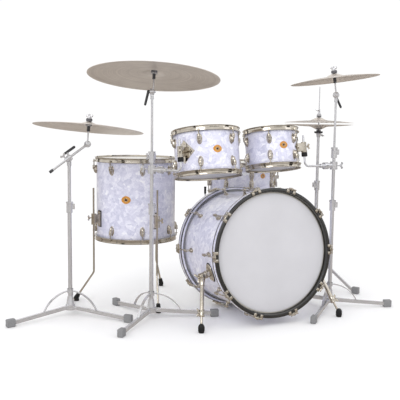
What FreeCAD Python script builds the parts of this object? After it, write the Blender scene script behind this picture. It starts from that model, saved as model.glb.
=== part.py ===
import FreeCAD, Part
import os
from math import cos, pi, radians, sin, tan

# An acoustic drum kit: bass drum, floor tom, two hanging toms, snare drum, hi-hats and three cymbals on
# flat-based stands. Millimetres. +X is to the right as the audience sees the kit, -Y faces the audience,
# +Z is up and the floor is z = 0. The layout is measured from the bass drum, and every piece is shifted by
# kit_shift as it is written, so that the middle of the whole kit is at the origin.

V = FreeCAD.Vector
ORIGIN = V(0, 0, 0)
UP = V(0, 0, 1)
INCH = 25.4
GAP = 0.5  # air between pieces that move past each other

# Layout, from the point on the floor below the bass drum's middle
kit_shift = V(190.43, -203.72, 0)
floor_tom_centre = V(-439, 478, 533)
mid_tom_centre = V(-236, 30, 780)
high_tom_centre = V(108, 24, 798)
snare_centre = V(188, 496, 624)
boom_stand_place = V(-839, 257, 0)
ride_stand_place = V(-496, 70, 0)
crash_stand_place = V(412, -65, 0)
hihat_stand_place = V(580, 340, 0)
bass_tilt = radians(4.6)  # the front of the bass drum is propped up on its spurs
tom_tilt = radians(10.7)  # the hanging toms lean towards the drummer
side_heading = -22.8  # degrees; the boom and the tilters are set square to this line
side = V(cos(radians(side_heading)), sin(radians(side_heading)), 0)
away = V(-side.y, side.x, 0)

# Drums
bass = dict(radius=11 * INCH, half=8 * INCH, wall=8, lugs=10, start=0)
floor_tom = dict(radius=8 * INCH, half=8 * INCH, wall=7, lugs=8, start=216, lug_at=156)
mid_tom = dict(radius=6 * INCH, half=4 * INCH, wall=6, lugs=6, start=235, lug_at=56)
high_tom = dict(radius=5 * INCH, half=3.5 * INCH, wall=6, lugs=6, start=237, lug_at=44)
snare = dict(radius=7 * INCH, half=3.25 * INCH, wall=6, lugs=8, start=260, lug_at=27)

# Bass drum hoops, lugs, claws and spurs
bass_hoop_outer = 300
bass_hoop_width = 38
bass_hoop_overhang = 20  # how far the hoop stands out past the shell
bass_lug_at = 108  # along the shell, from its middle
bass_rod_out = 26  # the claw rods' distance from the shell
bass_rod_radius = 3
spur_angle = 198
spur_at = 88
spur_knuckle_out = 42
spur_foot = V(-363, -222, 0)
spur_tube_radius = 9.5
spur_rod_radius = 5.5

# Metal hoops, tension rods and lugs of the other drums
rod_out = 14
rod_radius = 2.7
lug_collar = 14
ear_radius = 8

# Floor tom legs
leg_angles = dict(left=188, front=278.2, back=43.5)
leg_feet = dict(left=(310.4, 171.5), front=(324, 271.8), back=(300, 43.5))  # reach and heading from the middle
leg_out = 34
leg_radius = 4.8
leg_bracket_at = -98
leg_top = 60  # above the drum's middle
leg_bend_height = 163

# Tom mounts
mid_mount_angle = 205
high_mount_angle = 327
mount_out = 30
arm_radius = 5.2
mid_arm_height = 708
high_arm_height = 722

# Stands
base_tube_radius = 10
mid_tube_radius = 8
top_tube_radius = 5.6
stand_leg_reach = 320
clamp_height = 525
tilter_disc_radius = 15
tilter_disc_width = 9
cymbal_rod_radius = 4
cymbal_hole_radius = 6
cymbal_thickness = 1.4


# ---- Shapes that many pieces share ----

def unit(vector):
    return V(vector) / vector.Length


def heading(degrees):
    return V(cos(radians(degrees)), sin(radians(degrees)), 0)


def rod(start, end, radius):
    return Part.makeCylinder(radius, (end - start).Length, start, end - start)


def pipe(start, end, outer, inner):
    return rod(start, end, outer).cut(rod(start, end, inner))


def cone(start, end, start_radius, end_radius):
    return Part.makeCone(start_radius, end_radius, (end - start).Length, start, end - start)


def block(x, y, z):
    """A box between the two numbers of each pair."""
    return Part.makeBox(x[1] - x[0], y[1] - y[0], z[1] - z[0], V(x[0], y[0], z[0]))


def lathe(outline):
    """A ring or disc turned about Z from an outline of (radius, height) points."""
    points = [V(radius, 0, height) for radius, height in outline]
    return Part.Face(Part.makePolygon(points + points[:1])).revolve(ORIGIN, UP, 360)


def slab(outline, low, high):
    """A flat outline of (x, y) points, extruded in Z."""
    points = [V(x, y, low) for x, y in outline]
    return Part.Face(Part.makePolygon(points + points[:1])).extrude(V(0, 0, high - low))


def ellipsoid(centre, x, y, z):
    """A ball stretched to the three half lengths."""
    scale = FreeCAD.Matrix()
    scale.scale(x, y, z)
    ball = Part.makeSphere(1).transformGeometry(scale)
    ball.translate(centre)
    return ball


def bent_rod(points, radius, bend):
    """A round rod along straight runs, with an arc of the bend radius at each corner."""
    edges = []
    start = points[0]
    for before, corner, after in zip(points, points[1:], points[2:]):
        into = unit(corner - before)
        out = unit(after - corner)
        half_turn = into.getAngle(out) / 2
        reach = bend * tan(half_turn)
        arc_start = corner - into * reach
        arc_end = corner + out * reach
        arc_middle = corner + unit(out - into) * (bend / cos(half_turn) - bend)
        edges.append(Part.LineSegment(start, arc_start).toShape())
        edges.append(Part.Arc(arc_start, arc_middle, arc_end).toShape())
        start = arc_end
    edges.append(Part.LineSegment(start, points[-1]).toShape())
    section = Part.Wire(Part.makeCircle(radius, points[0], points[1] - points[0]))
    return Part.Wire(edges).makePipeShell([section], True, True)


def frame(origin, z_axis, x_axis):
    """The placement that carries local Z and X to the two axes given."""
    z = unit(z_axis)
    x = unit(x_axis - z * x_axis.dot(z))
    y = z.cross(x)
    return FreeCAD.Placement(FreeCAD.Matrix(
        x.x, y.x, z.x, origin.x,
        x.y, y.y, z.y, origin.y,
        x.z, y.z, z.z, origin.z,
        0, 0, 0, 1))


def put(shape, placement):
    copy = shape.copy()
    copy.Placement = placement.multiply(copy.Placement)
    return copy


def turned(shape, degrees):
    copy = shape.copy()
    copy.rotate(ORIGIN, UP, degrees)
    return copy


def around(shape, drum):
    """A copy of the shape at each lug of the drum."""
    return [turned(shape, drum["start"] + k * 360 / drum["lugs"]) for k in range(drum["lugs"])]


def both_ends(shapes):
    return shapes + [shape.mirror(ORIGIN, UP) for shape in shapes]


def fused(shapes):
    return shapes[0].multiFuse(shapes[1:]).removeSplitter()


def written(name, shapes, placement=None):
    """Writes one sub-part as a STEP file, in the kit's own frame."""
    solids = []
    for shape in shapes:
        moved = put(shape, placement) if placement else shape.copy()
        moved.translate(kit_shift)
        solids += moved.Solids
    Part.makeCompound(solids).exportStep("parts/" + name + ".step")
    volumes = sum(solid.Volume for solid in solids)
    print(f"{name:24s} {len(solids):3d} solids {volumes / 1000:9.1f} cm3", all(s.isValid() for s in solids))


# ---- Drums, each built upright about its own middle ----

def drum_shell(drum):
    """A ply tube with both bearing edges cut at 45 degrees."""
    r, h, wall = drum["radius"], drum["half"], drum["wall"]
    edge = 2
    return lathe([
        (r - wall, edge + wall / 2 - h), (r - edge, -h), (r, edge - h),
        (r, h - edge), (r - edge, h), (r - wall, h - edge - wall / 2)])


def drum_head(drum):
    """The film over one end, with its collar and flesh hoop outside the shell."""
    r, h = drum["radius"], drum["half"]
    return lathe([
        (0, h), (r - 1.5, h), (r + 0.8, h - 2), (r + 0.8, h - 14), (r + 6, h - 14), (r + 6, h - 6),
        (r + 2.2, h - 6), (r + 2.2, h - 1.5), (r - 0.5, h + 0.8), (0, h + 0.8)])


def metal_hoop(drum):
    """A triple-flanged hoop with an ear for each tension rod."""
    r, h = drum["radius"], drum["half"]
    ring = lathe([
        (r + 6.6, h - 13), (r + 13, h - 13), (r + 13, h - 11), (r + 8.8, h - 11), (r + 8.8, h - 3.8),
        (r + 6.4, h - 3.8), (r + 6.4, h + 7.5), (r + 10.5, h + 8.5), (r + 10.5, h + 10.5),
        (r + 4.2, h + 10.5), (r + 4.2, h - 6), (r + 6.6, h - 6)])
    ear = rod(V(r + rod_out, 0, h - 13), V(r + rod_out, 0, h - 11), ear_radius)
    inside = Part.makeCylinder(r + 7.5, 10, V(0, 0, h - 18))
    hole = rod(V(r + rod_out, 0, h - 15), V(r + rod_out, 0, h - 9), rod_radius + GAP)
    ring = ring.multiFuse([shape.cut(inside) for shape in around(ear, drum)])
    return ring.cut(around(hole, drum))


def tension_rod(drum):
    """A rod from the lug up through the hoop's ear, with a washer and a square key head."""
    r, h = drum["radius"] + rod_out, drum["half"]
    shaft = rod(V(r, 0, drum["lug_at"]), V(r, 0, h - 9.5), rod_radius)
    washer = rod(V(r, 0, h - 11), V(r, 0, h - 9.5), 5)
    head = block((r - 2.8, r + 2.8), (-2.8, 2.8), (h - 9.5, h - 0.5))
    return fused([shaft, washer, head])


def tom_lug(drum):
    """One tail-shaped lug whose collar points at the nearer hoop."""
    collar = rod(V(0, -5, lug_collar), V(0, 14, lug_collar), 7)
    lip = rod(V(0, 11, lug_collar), V(0, 14, lug_collar), 8)
    web = block((-5.5, 5.5), (-5, 11), (-2, lug_collar))
    tail = ellipsoid(V(0, -7, 2), 10, 20, 15)
    foot = ellipsoid(V(0, -4, 0), 12, 24, 4)
    lug = fused([collar, lip, web, tail, foot])
    lug = lug.cut(rod(V(0, -2, lug_collar), V(0, 15, lug_collar), rod_radius + 0.3))
    upright = frame(V(drum["radius"], 0, drum["lug_at"]), V(1, 0, 0), V(0, 1, 0))
    core = Part.makeCylinder(drum["radius"], 200, V(0, 0, drum["lug_at"] - 100))
    return put(lug, upright).cut(core)


def drum_lugs(drum, paired=True):
    """All lugs and tension rods: two lugs at each place, or one double-ended lug."""
    lug = tom_lug(drum)
    rods = both_ends(around(tension_rod(drum), drum))
    if paired:
        return both_ends(around(lug, drum)) + rods
    double = lug.fuse(lug.mirror(ORIGIN, UP))
    return around(double, drum) + rods


def place_upright(centre):
    return frame(centre, UP, V(1, 0, 0))


def place_leaning(centre):
    return frame(centre, V(0, sin(tom_tilt), cos(tom_tilt)), V(1, 0, 0))


def on_drum(drum, degrees, along, out=0.0):
    """The placement of a fitting on a shell: local Z points outwards and local Y along the drum."""
    outward = heading(degrees)
    return frame(outward * (drum["radius"] + out) + V(0, 0, along), outward, UP.cross(outward))


def write_drum(name, drum, placement, paired=True):
    written(name + "_shell", [drum_shell(drum)], placement)
    written(name + "_heads", both_ends([drum_head(drum)]), placement)
    written(name + "_hoops", both_ends([metal_hoop(drum)]), placement)
    written(name + "_lugs", drum_lugs(drum, paired), placement)


def wing(length, reach):
    """A wing screw along local Z, its wings spread along local X."""
    shaft = rod(ORIGIN, V(0, 0, length), 3)
    hub = rod(V(0, 0, length - 8), V(0, 0, length), 5.5)
    blade = slab([(0, -3), (reach, -6), (reach + 2, 0), (reach, 6), (0, 3)], -1.5, 1.5)
    blade.rotate(ORIGIN, V(1, 0, 0), 90)
    blades = []
    for turn in (0, 180):
        copy = blade.copy()
        copy.rotate(ORIGIN, V(0, 1, 0), -25)
        copy.rotate(ORIGIN, UP, turn)
        copy.translate(V(0, 0, length - 3))
        blades.append(copy)
    return fused([shaft, hub] + blades)


# ---- Bass drum, built about its own axis: local Z is the front, local Y is up ----

bass_half = bass["half"] + bass_hoop_overhang
bass_height = bass_hoop_outer * cos(bass_tilt) + bass_half * sin(bass_tilt)
bass_axis = V(0, -cos(bass_tilt), sin(bass_tilt))
bass_placement = frame(V(0, 0, bass_height), bass_axis, V(1, 0, 0))


def bass_hoop():
    """A wood hoop whose inner ledge presses on the flesh hoop of the head."""
    r, h = bass["radius"], bass["half"]
    return lathe([
        (r + 6.2, bass_half - bass_hoop_width), (bass_hoop_outer - 1.5, bass_half - bass_hoop_width),
        (bass_hoop_outer, bass_half - bass_hoop_width + 1.5), (bass_hoop_outer, bass_half - 1.5),
        (bass_hoop_outer - 1.5, bass_half), (r + 5, bass_half), (r + 3.5, bass_half - 1.5),
        (r + 3.5, h - 6), (r + 6.2, h - 6)])


def bass_lug():
    """A lug on a post, tall enough for its rod to pass outside the hoop."""
    foot = ellipsoid(ORIGIN, 11, 24, 6)
    body = ellipsoid(V(0, -4, 8), 8, 17, 14)
    post = rod(V(0, 0, -2), V(0, 0, bass_rod_out), 6.5)
    collar = rod(V(0, -10, bass_rod_out), V(0, 12, bass_rod_out), 6.5)
    lug = fused([foot, body, post, collar])
    lug = lug.cut(rod(V(0, -8, bass_rod_out), V(0, 13, bass_rod_out), bass_rod_radius + 0.3))
    core = Part.makeCylinder(bass["radius"], 200, V(0, 0, bass_lug_at - 100))
    return put(lug, on_drum(bass, 0, bass_lug_at)).cut(core)


def bass_claw():
    """A claw with two prongs over the hoop's edge. Local Y runs out past the hoop, local Z away from the axis."""
    rod_z = bass["radius"] + bass_rod_out - bass_hoop_outer
    plate = block((-24, 24), (-22, 3.4), (0.3, 2.6))
    boss = rod(V(0, -9, rod_z), V(0, 3.4, rod_z), 7.5)
    prongs = [block((x, x + 13), (0.1, 3.4), (-13, 2.6)) for x in (-24, 11)]
    claw = fused([plate, boss] + prongs).cut(block((-10, 10), (-12, 0), (-8, 0.3)))
    claw = claw.cut(block((-10.9, 10.9), (-1, 5), (-14, 0.3)))
    return claw.cut(rod(V(0, -30, rod_z), V(0, 10, rod_z), bass_rod_radius + GAP))


def t_rod():
    """The claw's rod with its T handle, in the claw's frame."""
    rod_z = bass["radius"] + bass_rod_out - bass_hoop_outer
    shaft = rod(V(0, bass_lug_at - bass_half, rod_z), V(0, 10, rod_z), bass_rod_radius)
    hub = rod(V(0, 3.5, rod_z), V(0, 13, rod_z), 5)
    bar = rod(V(-18, 9, rod_z), V(18, 9, rod_z), 3.2)
    return fused([shaft, hub, bar])


def spur_bracket():
    """An oval plate on the shell with the housing of the spur's pivot."""
    plate = ellipsoid(ORIGIN, 42, 30, 9)
    housing = rod(V(0, 0, -2), V(0, 0, 26), 17)
    rim = rod(V(0, 0, 22), V(0, 0, 26), 18.5)
    bracket = fused([plate, housing, rim])
    core = Part.makeCylinder(bass["radius"], 300, V(0, 0, spur_at - 150))
    return put(bracket, on_drum(bass, spur_angle, spur_at)).cut(core)


def spur_pivot():
    """The pivot's middle and its outward axis, in the kit's layout."""
    outward = heading(spur_angle)
    middle = outward * (bass["radius"] + spur_knuckle_out) + V(0, 0, spur_at)
    return bass_placement.multVec(middle), bass_placement.Rotation.multVec(outward)


def spur():
    """A knuckle on the pivot, a tube, a collar with a wing screw, and a rod with a rubber foot."""
    middle, outward = spur_pivot()
    foot = spur_foot + V(0, 0, 20)
    run = unit(foot - middle)
    length = (foot - middle).Length
    knuckle = rod(middle - outward * (spur_knuckle_out - 26 - GAP), middle + outward * 15, 17)
    bolt = rod(middle + outward * 15, middle + outward * 22, 6)
    tube = rod(middle, middle + run * (length * 0.68), spur_tube_radius)
    collar = rod(middle + run * (length * 0.66), middle + run * (length * 0.78), 12.5)
    leg = rod(middle, foot, spur_rod_radius)
    body = fused([knuckle, bolt, tube, collar, leg])
    screw_frame = frame(middle + run * (length * 0.72), run.cross(V(0, 1, 0)) * -1, run)
    pivot_frame = frame(middle + outward * 15, outward, run)
    rubber = [rod(spur_foot, spur_foot + V(0, 0, 30), 13), Part.makeSphere(15, spur_foot + V(0, 0, 24))]
    rubber = fused(rubber).cut(rod(middle, foot, spur_rod_radius))
    return [fused([body, put(wing(26, 11), screw_frame), put(wing(20, 15), pivot_frame)]), rubber]


def mirrored_x(shapes):
    return [shape.mirror(ORIGIN, V(1, 0, 0)) for shape in shapes]


def write_bass_drum():
    written("bass_shell", [drum_shell(bass)], bass_placement)
    written("bass_heads", both_ends([drum_head(bass)]), bass_placement)
    written("bass_hoops", both_ends([bass_hoop()]), bass_placement)
    written("bass_lugs", both_ends(around(bass_lug(), bass)), bass_placement)
    on_hoop = on_drum(bass, 0, bass_half, bass_hoop_outer - bass["radius"])
    claw = put(bass_claw(), on_hoop)
    handle = put(t_rod(), on_hoop)
    claws = both_ends(around(claw, bass) + around(handle, bass))
    written("bass_claws", claws, bass_placement)
    bracket = spur_bracket()
    written("spur_brackets", [bracket] + mirrored_x([bracket]), bass_placement)
    left = spur()
    written("spur_left", left)
    written("spur_right", mirrored_x(left))


# ---- Bass drum pedal ----

pedal_axle = V(0, 228, 130)
pedal_heel = V(0, 505, 26)
pedal_toe = V(0, 250, 84)
beater_rest = radians(42)  # behind upright


def pedal_frame():
    base = slab([(-46, 202), (46, 202), (40, 505), (-40, 505)], 0, 6)
    heel = block((-40, 40), (505, 560), (0, 20))
    heel = heel.fuse(rod(V(-40, 516, 20), V(40, 516, 20), 9))
    heel = heel.cut(block((-41, 41), (490, pedal_heel.y + 3), (6, 60)))
    posts = []
    for x in (-46, 36):
        post = block((x, x + 10), (pedal_axle.y - 9, pedal_axle.y + 9), (0, pedal_axle.z + 12))
        foot = slab([(x, 202), (x + 10, 202), (x + 10, 262), (x, 262)], 0, 12)
        posts += [post, foot]
    bore = rod(pedal_axle - V(60, 0, 0), pedal_axle + V(60, 0, 0), 4 + GAP)
    jaw = block((-22, 22), (187, 208), (20, 26)).fuse(block((-22, 22), (202, 208), (0, 26)))
    return [fused([base, heel, jaw] + posts).cut(bore)]


def pedal_footboard():
    """The board from the heel hinge up to the toe, with the pull link at its end."""
    run = pedal_toe - pedal_heel
    lie = frame(pedal_heel, V(1, 0, 0).cross(run), V(1, 0, 0))
    length = run.Length
    board = slab([(-38, 2), (38, 2), (34, length - 20), (24, length), (-24, length), (-34, length - 20)], 0, 6)
    rib = block((-5, 5), (length - 60, length), (-5, 0))
    knuckle = rod(V(-30, 4, 3), V(30, 4, 3), 4.5)
    link = block((-5, 5), (pedal_toe.y - 2, pedal_toe.y + 2), (pedal_toe.z - 2, 100))
    body = fused([board, rib, knuckle])
    return [fused([put(body, lie), link])]


def pedal_beater():
    """The axle with its cam, the beater's shaft leaning back from the head, and the felt beater."""
    lean = V(0, sin(beater_rest), cos(beater_rest))
    face = lean.cross(V(1, 0, 0)) * -1
    axle = rod(pedal_axle - V(50, 0, 0), pedal_axle + V(50, 0, 0), 4)
    cam = rod(pedal_axle - V(6, 0, 0), pedal_axle + V(6, 0, 0), 27)
    shaft = rod(pedal_axle - lean * 20, pedal_axle + lean * 185, 3.2)
    middle = pedal_axle + lean * 170
    felt = rod(middle + face * 20, middle - face * 20, 20)
    return [fused([axle, cam, shaft, felt])]


def write_pedal():
    written("pedal_frame", pedal_frame())
    written("pedal_footboard", pedal_footboard())
    written("pedal_beater", pedal_beater())


# ---- Floor tom ----

def leg_bracket(degrees):
    """A plate on the shell with a sleeve for the leg and a wing screw."""
    plate = block((-14, 14), (-37, 37), (-3, 6))
    neck = block((-11, 11), (-24, 24), (5, leg_out))
    sleeve = rod(V(0, -28, leg_out), V(0, 28, leg_out), 12)
    body = fused([plate, neck, sleeve])
    body = body.cut(rod(V(0, -30, leg_out), V(0, 30, leg_out), leg_radius + GAP))
    screw = put(wing(24, 12), frame(V(0, 8, leg_out + 10), V(0.5, 0, 1), V(0, 1, 0)))
    screw = screw.cut(rod(V(0, -30, leg_out), V(0, 30, leg_out), leg_radius + GAP))
    bracket = put(fused([body, screw]), on_drum(floor_tom, degrees, leg_bracket_at))
    return bracket.cut(Part.makeCylinder(floor_tom["radius"], 400, V(0, 0, -200)))


def floor_tom_leg(degrees, reach, foot_heading):
    """A rod that runs down through its sleeve and bends out to a rubber foot."""
    outward = heading(degrees)
    below = V(floor_tom_centre.x, floor_tom_centre.y, 0)
    line = below + outward * (floor_tom["radius"] + leg_out)
    foot = below + heading(foot_heading) * reach
    top = line + V(0, 0, floor_tom_centre.z + leg_top)
    leg = bent_rod([top, line + V(0, 0, leg_bend_height), foot + V(0, 0, 18)], leg_radius, 30)
    run = unit(foot - line - V(0, 0, leg_bend_height))
    tip = foot + V(0, 0, 18)
    rubber = cone(tip - run * 26, tip + run * 12, 9, 12)
    floor = block((-3000, 3000), (-3000, 3000), (-100, 0))
    rubber = fused([rubber, cone(foot, foot + V(0, 0, 12), 12.5, 11)]).cut(floor)
    return [leg, rubber.cut(leg)]


def write_floor_tom():
    placement = place_upright(floor_tom_centre)
    write_drum("floor_tom", floor_tom, placement)
    written("floor_tom_leg_brackets", [leg_bracket(a) for a in leg_angles.values()], placement)
    for name, degrees in leg_angles.items():
        written("floor_tom_leg_" + name, floor_tom_leg(degrees, *leg_feet[name]))


# ---- Hanging toms ----

def tom_bracket(drum, degrees):
    """A diamond plate bent round the shell, with a clamp for the arm."""
    r = drum["radius"]
    diamond = slab([(54, 0), (0, 54), (-54, 0), (0, -54)], -30, 20)
    diamond = put(diamond, on_drum(drum, 0, 0))
    plate = diamond.common(Part.makeCylinder(r + 3, 140, V(0, 0, -70)))
    neck = block((-15, 15), (-19, 19), (-2, mount_out))
    sleeve = rod(V(0, -24, mount_out), V(0, 24, mount_out), 13)
    cap = rod(V(0, -26, mount_out), V(0, -15, mount_out), 14.5)
    post = rod(V(15, 0, 10), V(27, 0, 10), 5)
    clamp = fused([neck, sleeve, cap, post])
    screw = put(wing(26, 13), frame(V(6, 4, mount_out), V(0.6, 0, 1), V(0, 1, 0)))
    clamp = fused([clamp, screw]).cut(rod(V(0, -40, mount_out), V(0, 40, mount_out), arm_radius + GAP))
    bolts = [rod(V(x, y, 0), V(x, y, 5.5), 4) for x, y in ((38, 0), (0, 38), (0, -38), (-38, 0))]
    clamp = put(Part.makeCompound([clamp] + bolts), on_drum(drum, 0, 0))
    bracket = fused([plate] + clamp.Solids).cut(Part.makeCylinder(r, 200, V(0, 0, -100)))
    return [turned(bracket, degrees)]


def arm_line(drum, placement, degrees, height):
    """The arm's upper and lower corner: the clamp's line on the tom, and where it comes down to height."""
    on_shell = placement.multVec(heading(degrees) * (drum["radius"] + mount_out))
    axis = placement.Rotation.multVec(UP)
    corner = on_shell - axis * ((on_shell.z - height) / axis.z)
    return on_shell, axis, corner


def tom_clamp(stand, corner):
    """The clamp round the stand's tube, with one half of the ratchet."""
    middle = V(stand.x, stand.y, corner.z)
    out = unit(corner - middle)
    grip = pipe(middle - UP * 19, middle + UP * 19, 19, mid_tube_radius + GAP)
    neck = rod(middle + out * 12, middle + out * 44, 12)
    neck = neck.cut(rod(middle - UP * 25, middle + UP * 25, mid_tube_radius + GAP + 2))
    ratchet = rod(middle + out * 38, middle + out * 50, 17)
    lever = put(wing(34, 16), frame(middle - out * 15, out * -1, UP))
    return [fused([grip, neck, ratchet, lever])]


def tom_arm(stand, line):
    """The other half of the ratchet, with the bent rod that carries the tom."""
    on_shell, axis, corner = line
    middle = V(stand.x, stand.y, corner.z)
    out = unit(corner - middle)
    ratchet = rod(middle + out * (50 + GAP), middle + out * 62, 17)
    socket = rod(middle + out * 60, middle + out * 84, 10.5)
    bend = bent_rod([middle + out * 61, corner, on_shell + axis * 58], arm_radius, 20)
    return [fused([ratchet, socket, bend])]


mid_tom_placement = place_leaning(mid_tom_centre)
high_tom_placement = place_leaning(high_tom_centre)
mid_arm_line = arm_line(mid_tom, mid_tom_placement, mid_mount_angle, mid_arm_height)
high_arm_line = arm_line(high_tom, high_tom_placement, high_mount_angle, high_arm_height)


def write_hanging_toms():
    write_drum("mid_tom", mid_tom, mid_tom_placement)
    written("mid_tom_bracket", tom_bracket(mid_tom, mid_mount_angle), mid_tom_placement)
    written("mid_tom_clamp", tom_clamp(ride_stand_place, mid_arm_line[2]))
    written("mid_tom_arm", tom_arm(ride_stand_place, mid_arm_line))
    write_drum("high_tom", high_tom, high_tom_placement)
    written("high_tom_bracket", tom_bracket(high_tom, high_mount_angle), high_tom_placement)
    written("high_tom_clamp", tom_clamp(crash_stand_place, high_arm_line[2]))
    written("high_tom_arm", tom_arm(crash_stand_place, high_arm_line))


# ---- Snare drum and its stand ----

strainer_angle = 327.5
butt_angle = 147.5
basket_angles = (157, 277, 37)


def strainer_body():
    """The throw-off on one side and the butt plate on the other."""
    body = block((-13, 13), (-38, 16), (-4, 14)).fuse(block((-9, 9), (-46, -20), (8, 18)))
    pivot = [block((-13, -8), (0, 16), (10, 26)), block((8, 13), (0, 16), (10, 26))]
    body = fused([body] + pivot).cut(rod(V(-14, 8, 20), V(14, 8, 20), 2.8))
    body = put(body, on_drum(snare, strainer_angle, 0))
    butt = block((-15, 15), (-48, -14), (-4, 12)).fuse(block((-9, 9), (-40, -22), (10, 17)))
    butt = put(butt, on_drum(snare, butt_angle, 0))
    core = Part.makeCylinder(snare["radius"], 300, V(0, 0, -150))
    return [body.cut(core), butt.cut(core)]


def strainer_lever():
    """The throw-off lever, lying against its body."""
    pin = rod(V(-13, 8, 20), V(13, 8, 20), 2.5)
    arm = block((-7.4, 7.4), (4, 56), (17, 23))
    tip = rod(V(-7.4, 56, 20), V(7.4, 56, 20), 5)
    return [put(fused([pin, arm, tip]), on_drum(snare, strainer_angle, 0))]


def basket():
    """The snare stand's upper tube and its three arms, each with a rubber hook."""
    floor_point = V(snare_centre.x, snare_centre.y, 0)
    hoop_bottom = snare_centre.z - snare["half"] - 13
    shapes = [rod(floor_point + UP * 260, floor_point + UP * (hoop_bottom - 46), mid_tube_radius)]
    shapes.append(rod(floor_point + UP * (hoop_bottom - 60), floor_point + UP * (hoop_bottom - 26), 17))
    hooks = []
    for degrees in basket_angles:
        out = heading(degrees)
        reach = snare["radius"] + 27.5
        low = floor_point + UP * (hoop_bottom - 42) + out * 8
        corner = floor_point + UP * (hoop_bottom - 14) + out * reach
        shapes.append(bent_rod([low, corner, corner + UP * 52], 4, 14))
        pad = pipe(corner + UP * 18, corner + UP * 54, 5.4, 4)
        hooks.append(pad.fuse(rod(corner + UP * 52.5, corner + UP * 56, 5.4)))
    return [fused(shapes)] + hooks


def write_snare():
    placement = place_upright(snare_centre)
    write_drum("snare", snare, placement, paired=False)
    written("snare_strainer", strainer_body(), placement)
    written("snare_lever", strainer_lever(), placement)
    written("snare_basket", basket())
    base = flat_base((-5, 115, 235), 180, 0.85)
    base += [hollow_tube(60, 400, base_tube_radius, mid_tube_radius)]
    base += [height_clamp(390, mid_tube_radius, 90)]
    written("snare_stand_base", joined_base(base), place_upright(V(snare_centre.x, snare_centre.y, 0)))


# ---- Stands, each built about its own tube ----

def brace(reach, top, low):
    """A flat strip that bows out from the collar down to a leg, in the XZ plane along +X."""
    start, end = V(15, 0, top), V(reach, 0, low)
    middle = (start + end) / 2 + V(10, 0, 16)
    thickness = V(1.2, 0, 2)
    outer = Part.Arc(start + thickness, middle + thickness, end + thickness).toShape()
    inner = Part.Arc(end - thickness, middle - thickness, start - thickness).toShape()
    ends = [Part.LineSegment(end + thickness, end - thickness).toShape(),
            Part.LineSegment(start - thickness, start + thickness).toShape()]
    strip = Part.Face(Part.Wire([outer, ends[0], inner, ends[1]])).extrude(V(0, 11, 0))
    strip.translate(V(0, -5.5, 0))
    return strip


def stand_leg(reach):
    """A flat bar from the hub out to its rubber tip."""
    low_in, low_out, deep = 34, 9, 18
    profile = [V(16, 0, low_in), V(reach - 34, 0, low_out), V(reach - 34, 0, low_out + deep),
               V(16, 0, low_in + deep)]
    bar = Part.Face(Part.makePolygon(profile + profile[:1])).extrude(V(0, 13, 0))
    bar.translate(V(0, -6.5, 0))
    return bar


def stand_foot(reach):
    """A rubber tip that the leg ends in."""
    tip = block((reach - 34, reach + 4), (-12, 12), (0, 36))
    return tip.makeFillet(4, tip.Edges)


def flat_base(angles, reach, size=1.0):
    """The hub, collar, legs, braces and rubber tips of a stand that sits low on the floor."""
    hub = lathe([(0, 30), (23, 30), (23, 54), (18, 58), (12.5, 96), (0, 96)])
    collar = lathe([(0, 112), (14, 112), (14, 132), (0, 132)])
    shapes = [hub, collar]
    for degrees in angles:
        shapes.append(turned(stand_leg(reach), degrees))
        shapes.append(turned(brace(140 * size, 122, 40), degrees))
    return [fused(shapes + [rod(V(0, 0, 90), V(0, 0, 120), base_tube_radius)])] + [
        turned(stand_foot(reach), degrees) for degrees in angles]


def hollow_tube(bottom, top, outer, inner_tube):
    """A tube whose bore takes the next tube up."""
    return pipe(V(0, 0, bottom), V(0, 0, top), outer, inner_tube + GAP)


def height_clamp(height, inner_tube, degrees):
    """The clamp at the top of a tube: a sleeve, an ear and a wing screw."""
    sleeve = rod(V(0, 0, height - 28), V(0, 0, height + 24), 14.5)
    ring = rod(V(0, 0, height + 16), V(0, 0, height + 24), 17)
    ear = block((10, 25), (-7, 7), (height - 12, height + 14))
    screw = put(wing(30, 14), frame(V(18, 5, height), V(0, 1, 0), V(0, 0, 1)))
    clamp = fused([sleeve, ring, ear, screw])
    clamp = clamp.cut(rod(V(0, 0, height - 60), V(0, 0, height + 30), inner_tube + GAP))
    return turned(clamp, degrees)


def joined_base(shapes):
    """One solid for the base's metal, with the bore cut through it, and the rubber tips apart from it."""
    metal = [shape for shape in shapes if shape.BoundBox.ZMax > 60]
    tips = [shape for shape in shapes if shape.BoundBox.ZMax <= 60]
    return [fused(metal).cut(rod(V(0, 0, 100), V(0, 0, 300), mid_tube_radius + GAP))] + tips


def short_stand_base(angles, clamp_heading):
    """The base of a stand whose upper tube slides straight into it."""
    shapes = flat_base(angles, stand_leg_reach)
    shapes.append(hollow_tube(60, clamp_height, base_tube_radius, mid_tube_radius))
    shapes.append(height_clamp(clamp_height, mid_tube_radius, clamp_heading))
    return joined_base(shapes)


def tall_stand_base(angles, clamp_heading, upper_clamp):
    """A base with a middle tube, held in the lower clamp, that ends in a second clamp."""
    middle = [pipe(V(0, 0, clamp_height - 100), V(0, 0, upper_clamp), mid_tube_radius, top_tube_radius + GAP),
              height_clamp(upper_clamp, top_tube_radius, clamp_heading + 20)]
    middle = fused(middle).cut(rod(V(0, 0, 400), V(0, 0, 900), top_tube_radius + GAP))
    return short_stand_base(angles, clamp_heading) + [middle]


def tilter_discs(centre, axis, near, far):
    return rod(centre + axis * near, centre + axis * far, tilter_disc_radius)


def tilter_lever(centre, axis, droop):
    """The lever that locks a tilter, beside its fixed disc."""
    start = centre - axis * (tilter_disc_width + GAP)
    boss = rod(start, start - axis * 12, 7)
    handle = rod(start - axis * 8, start - axis * 14 + droop, 5)
    return boss.fuse(handle)


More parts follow.
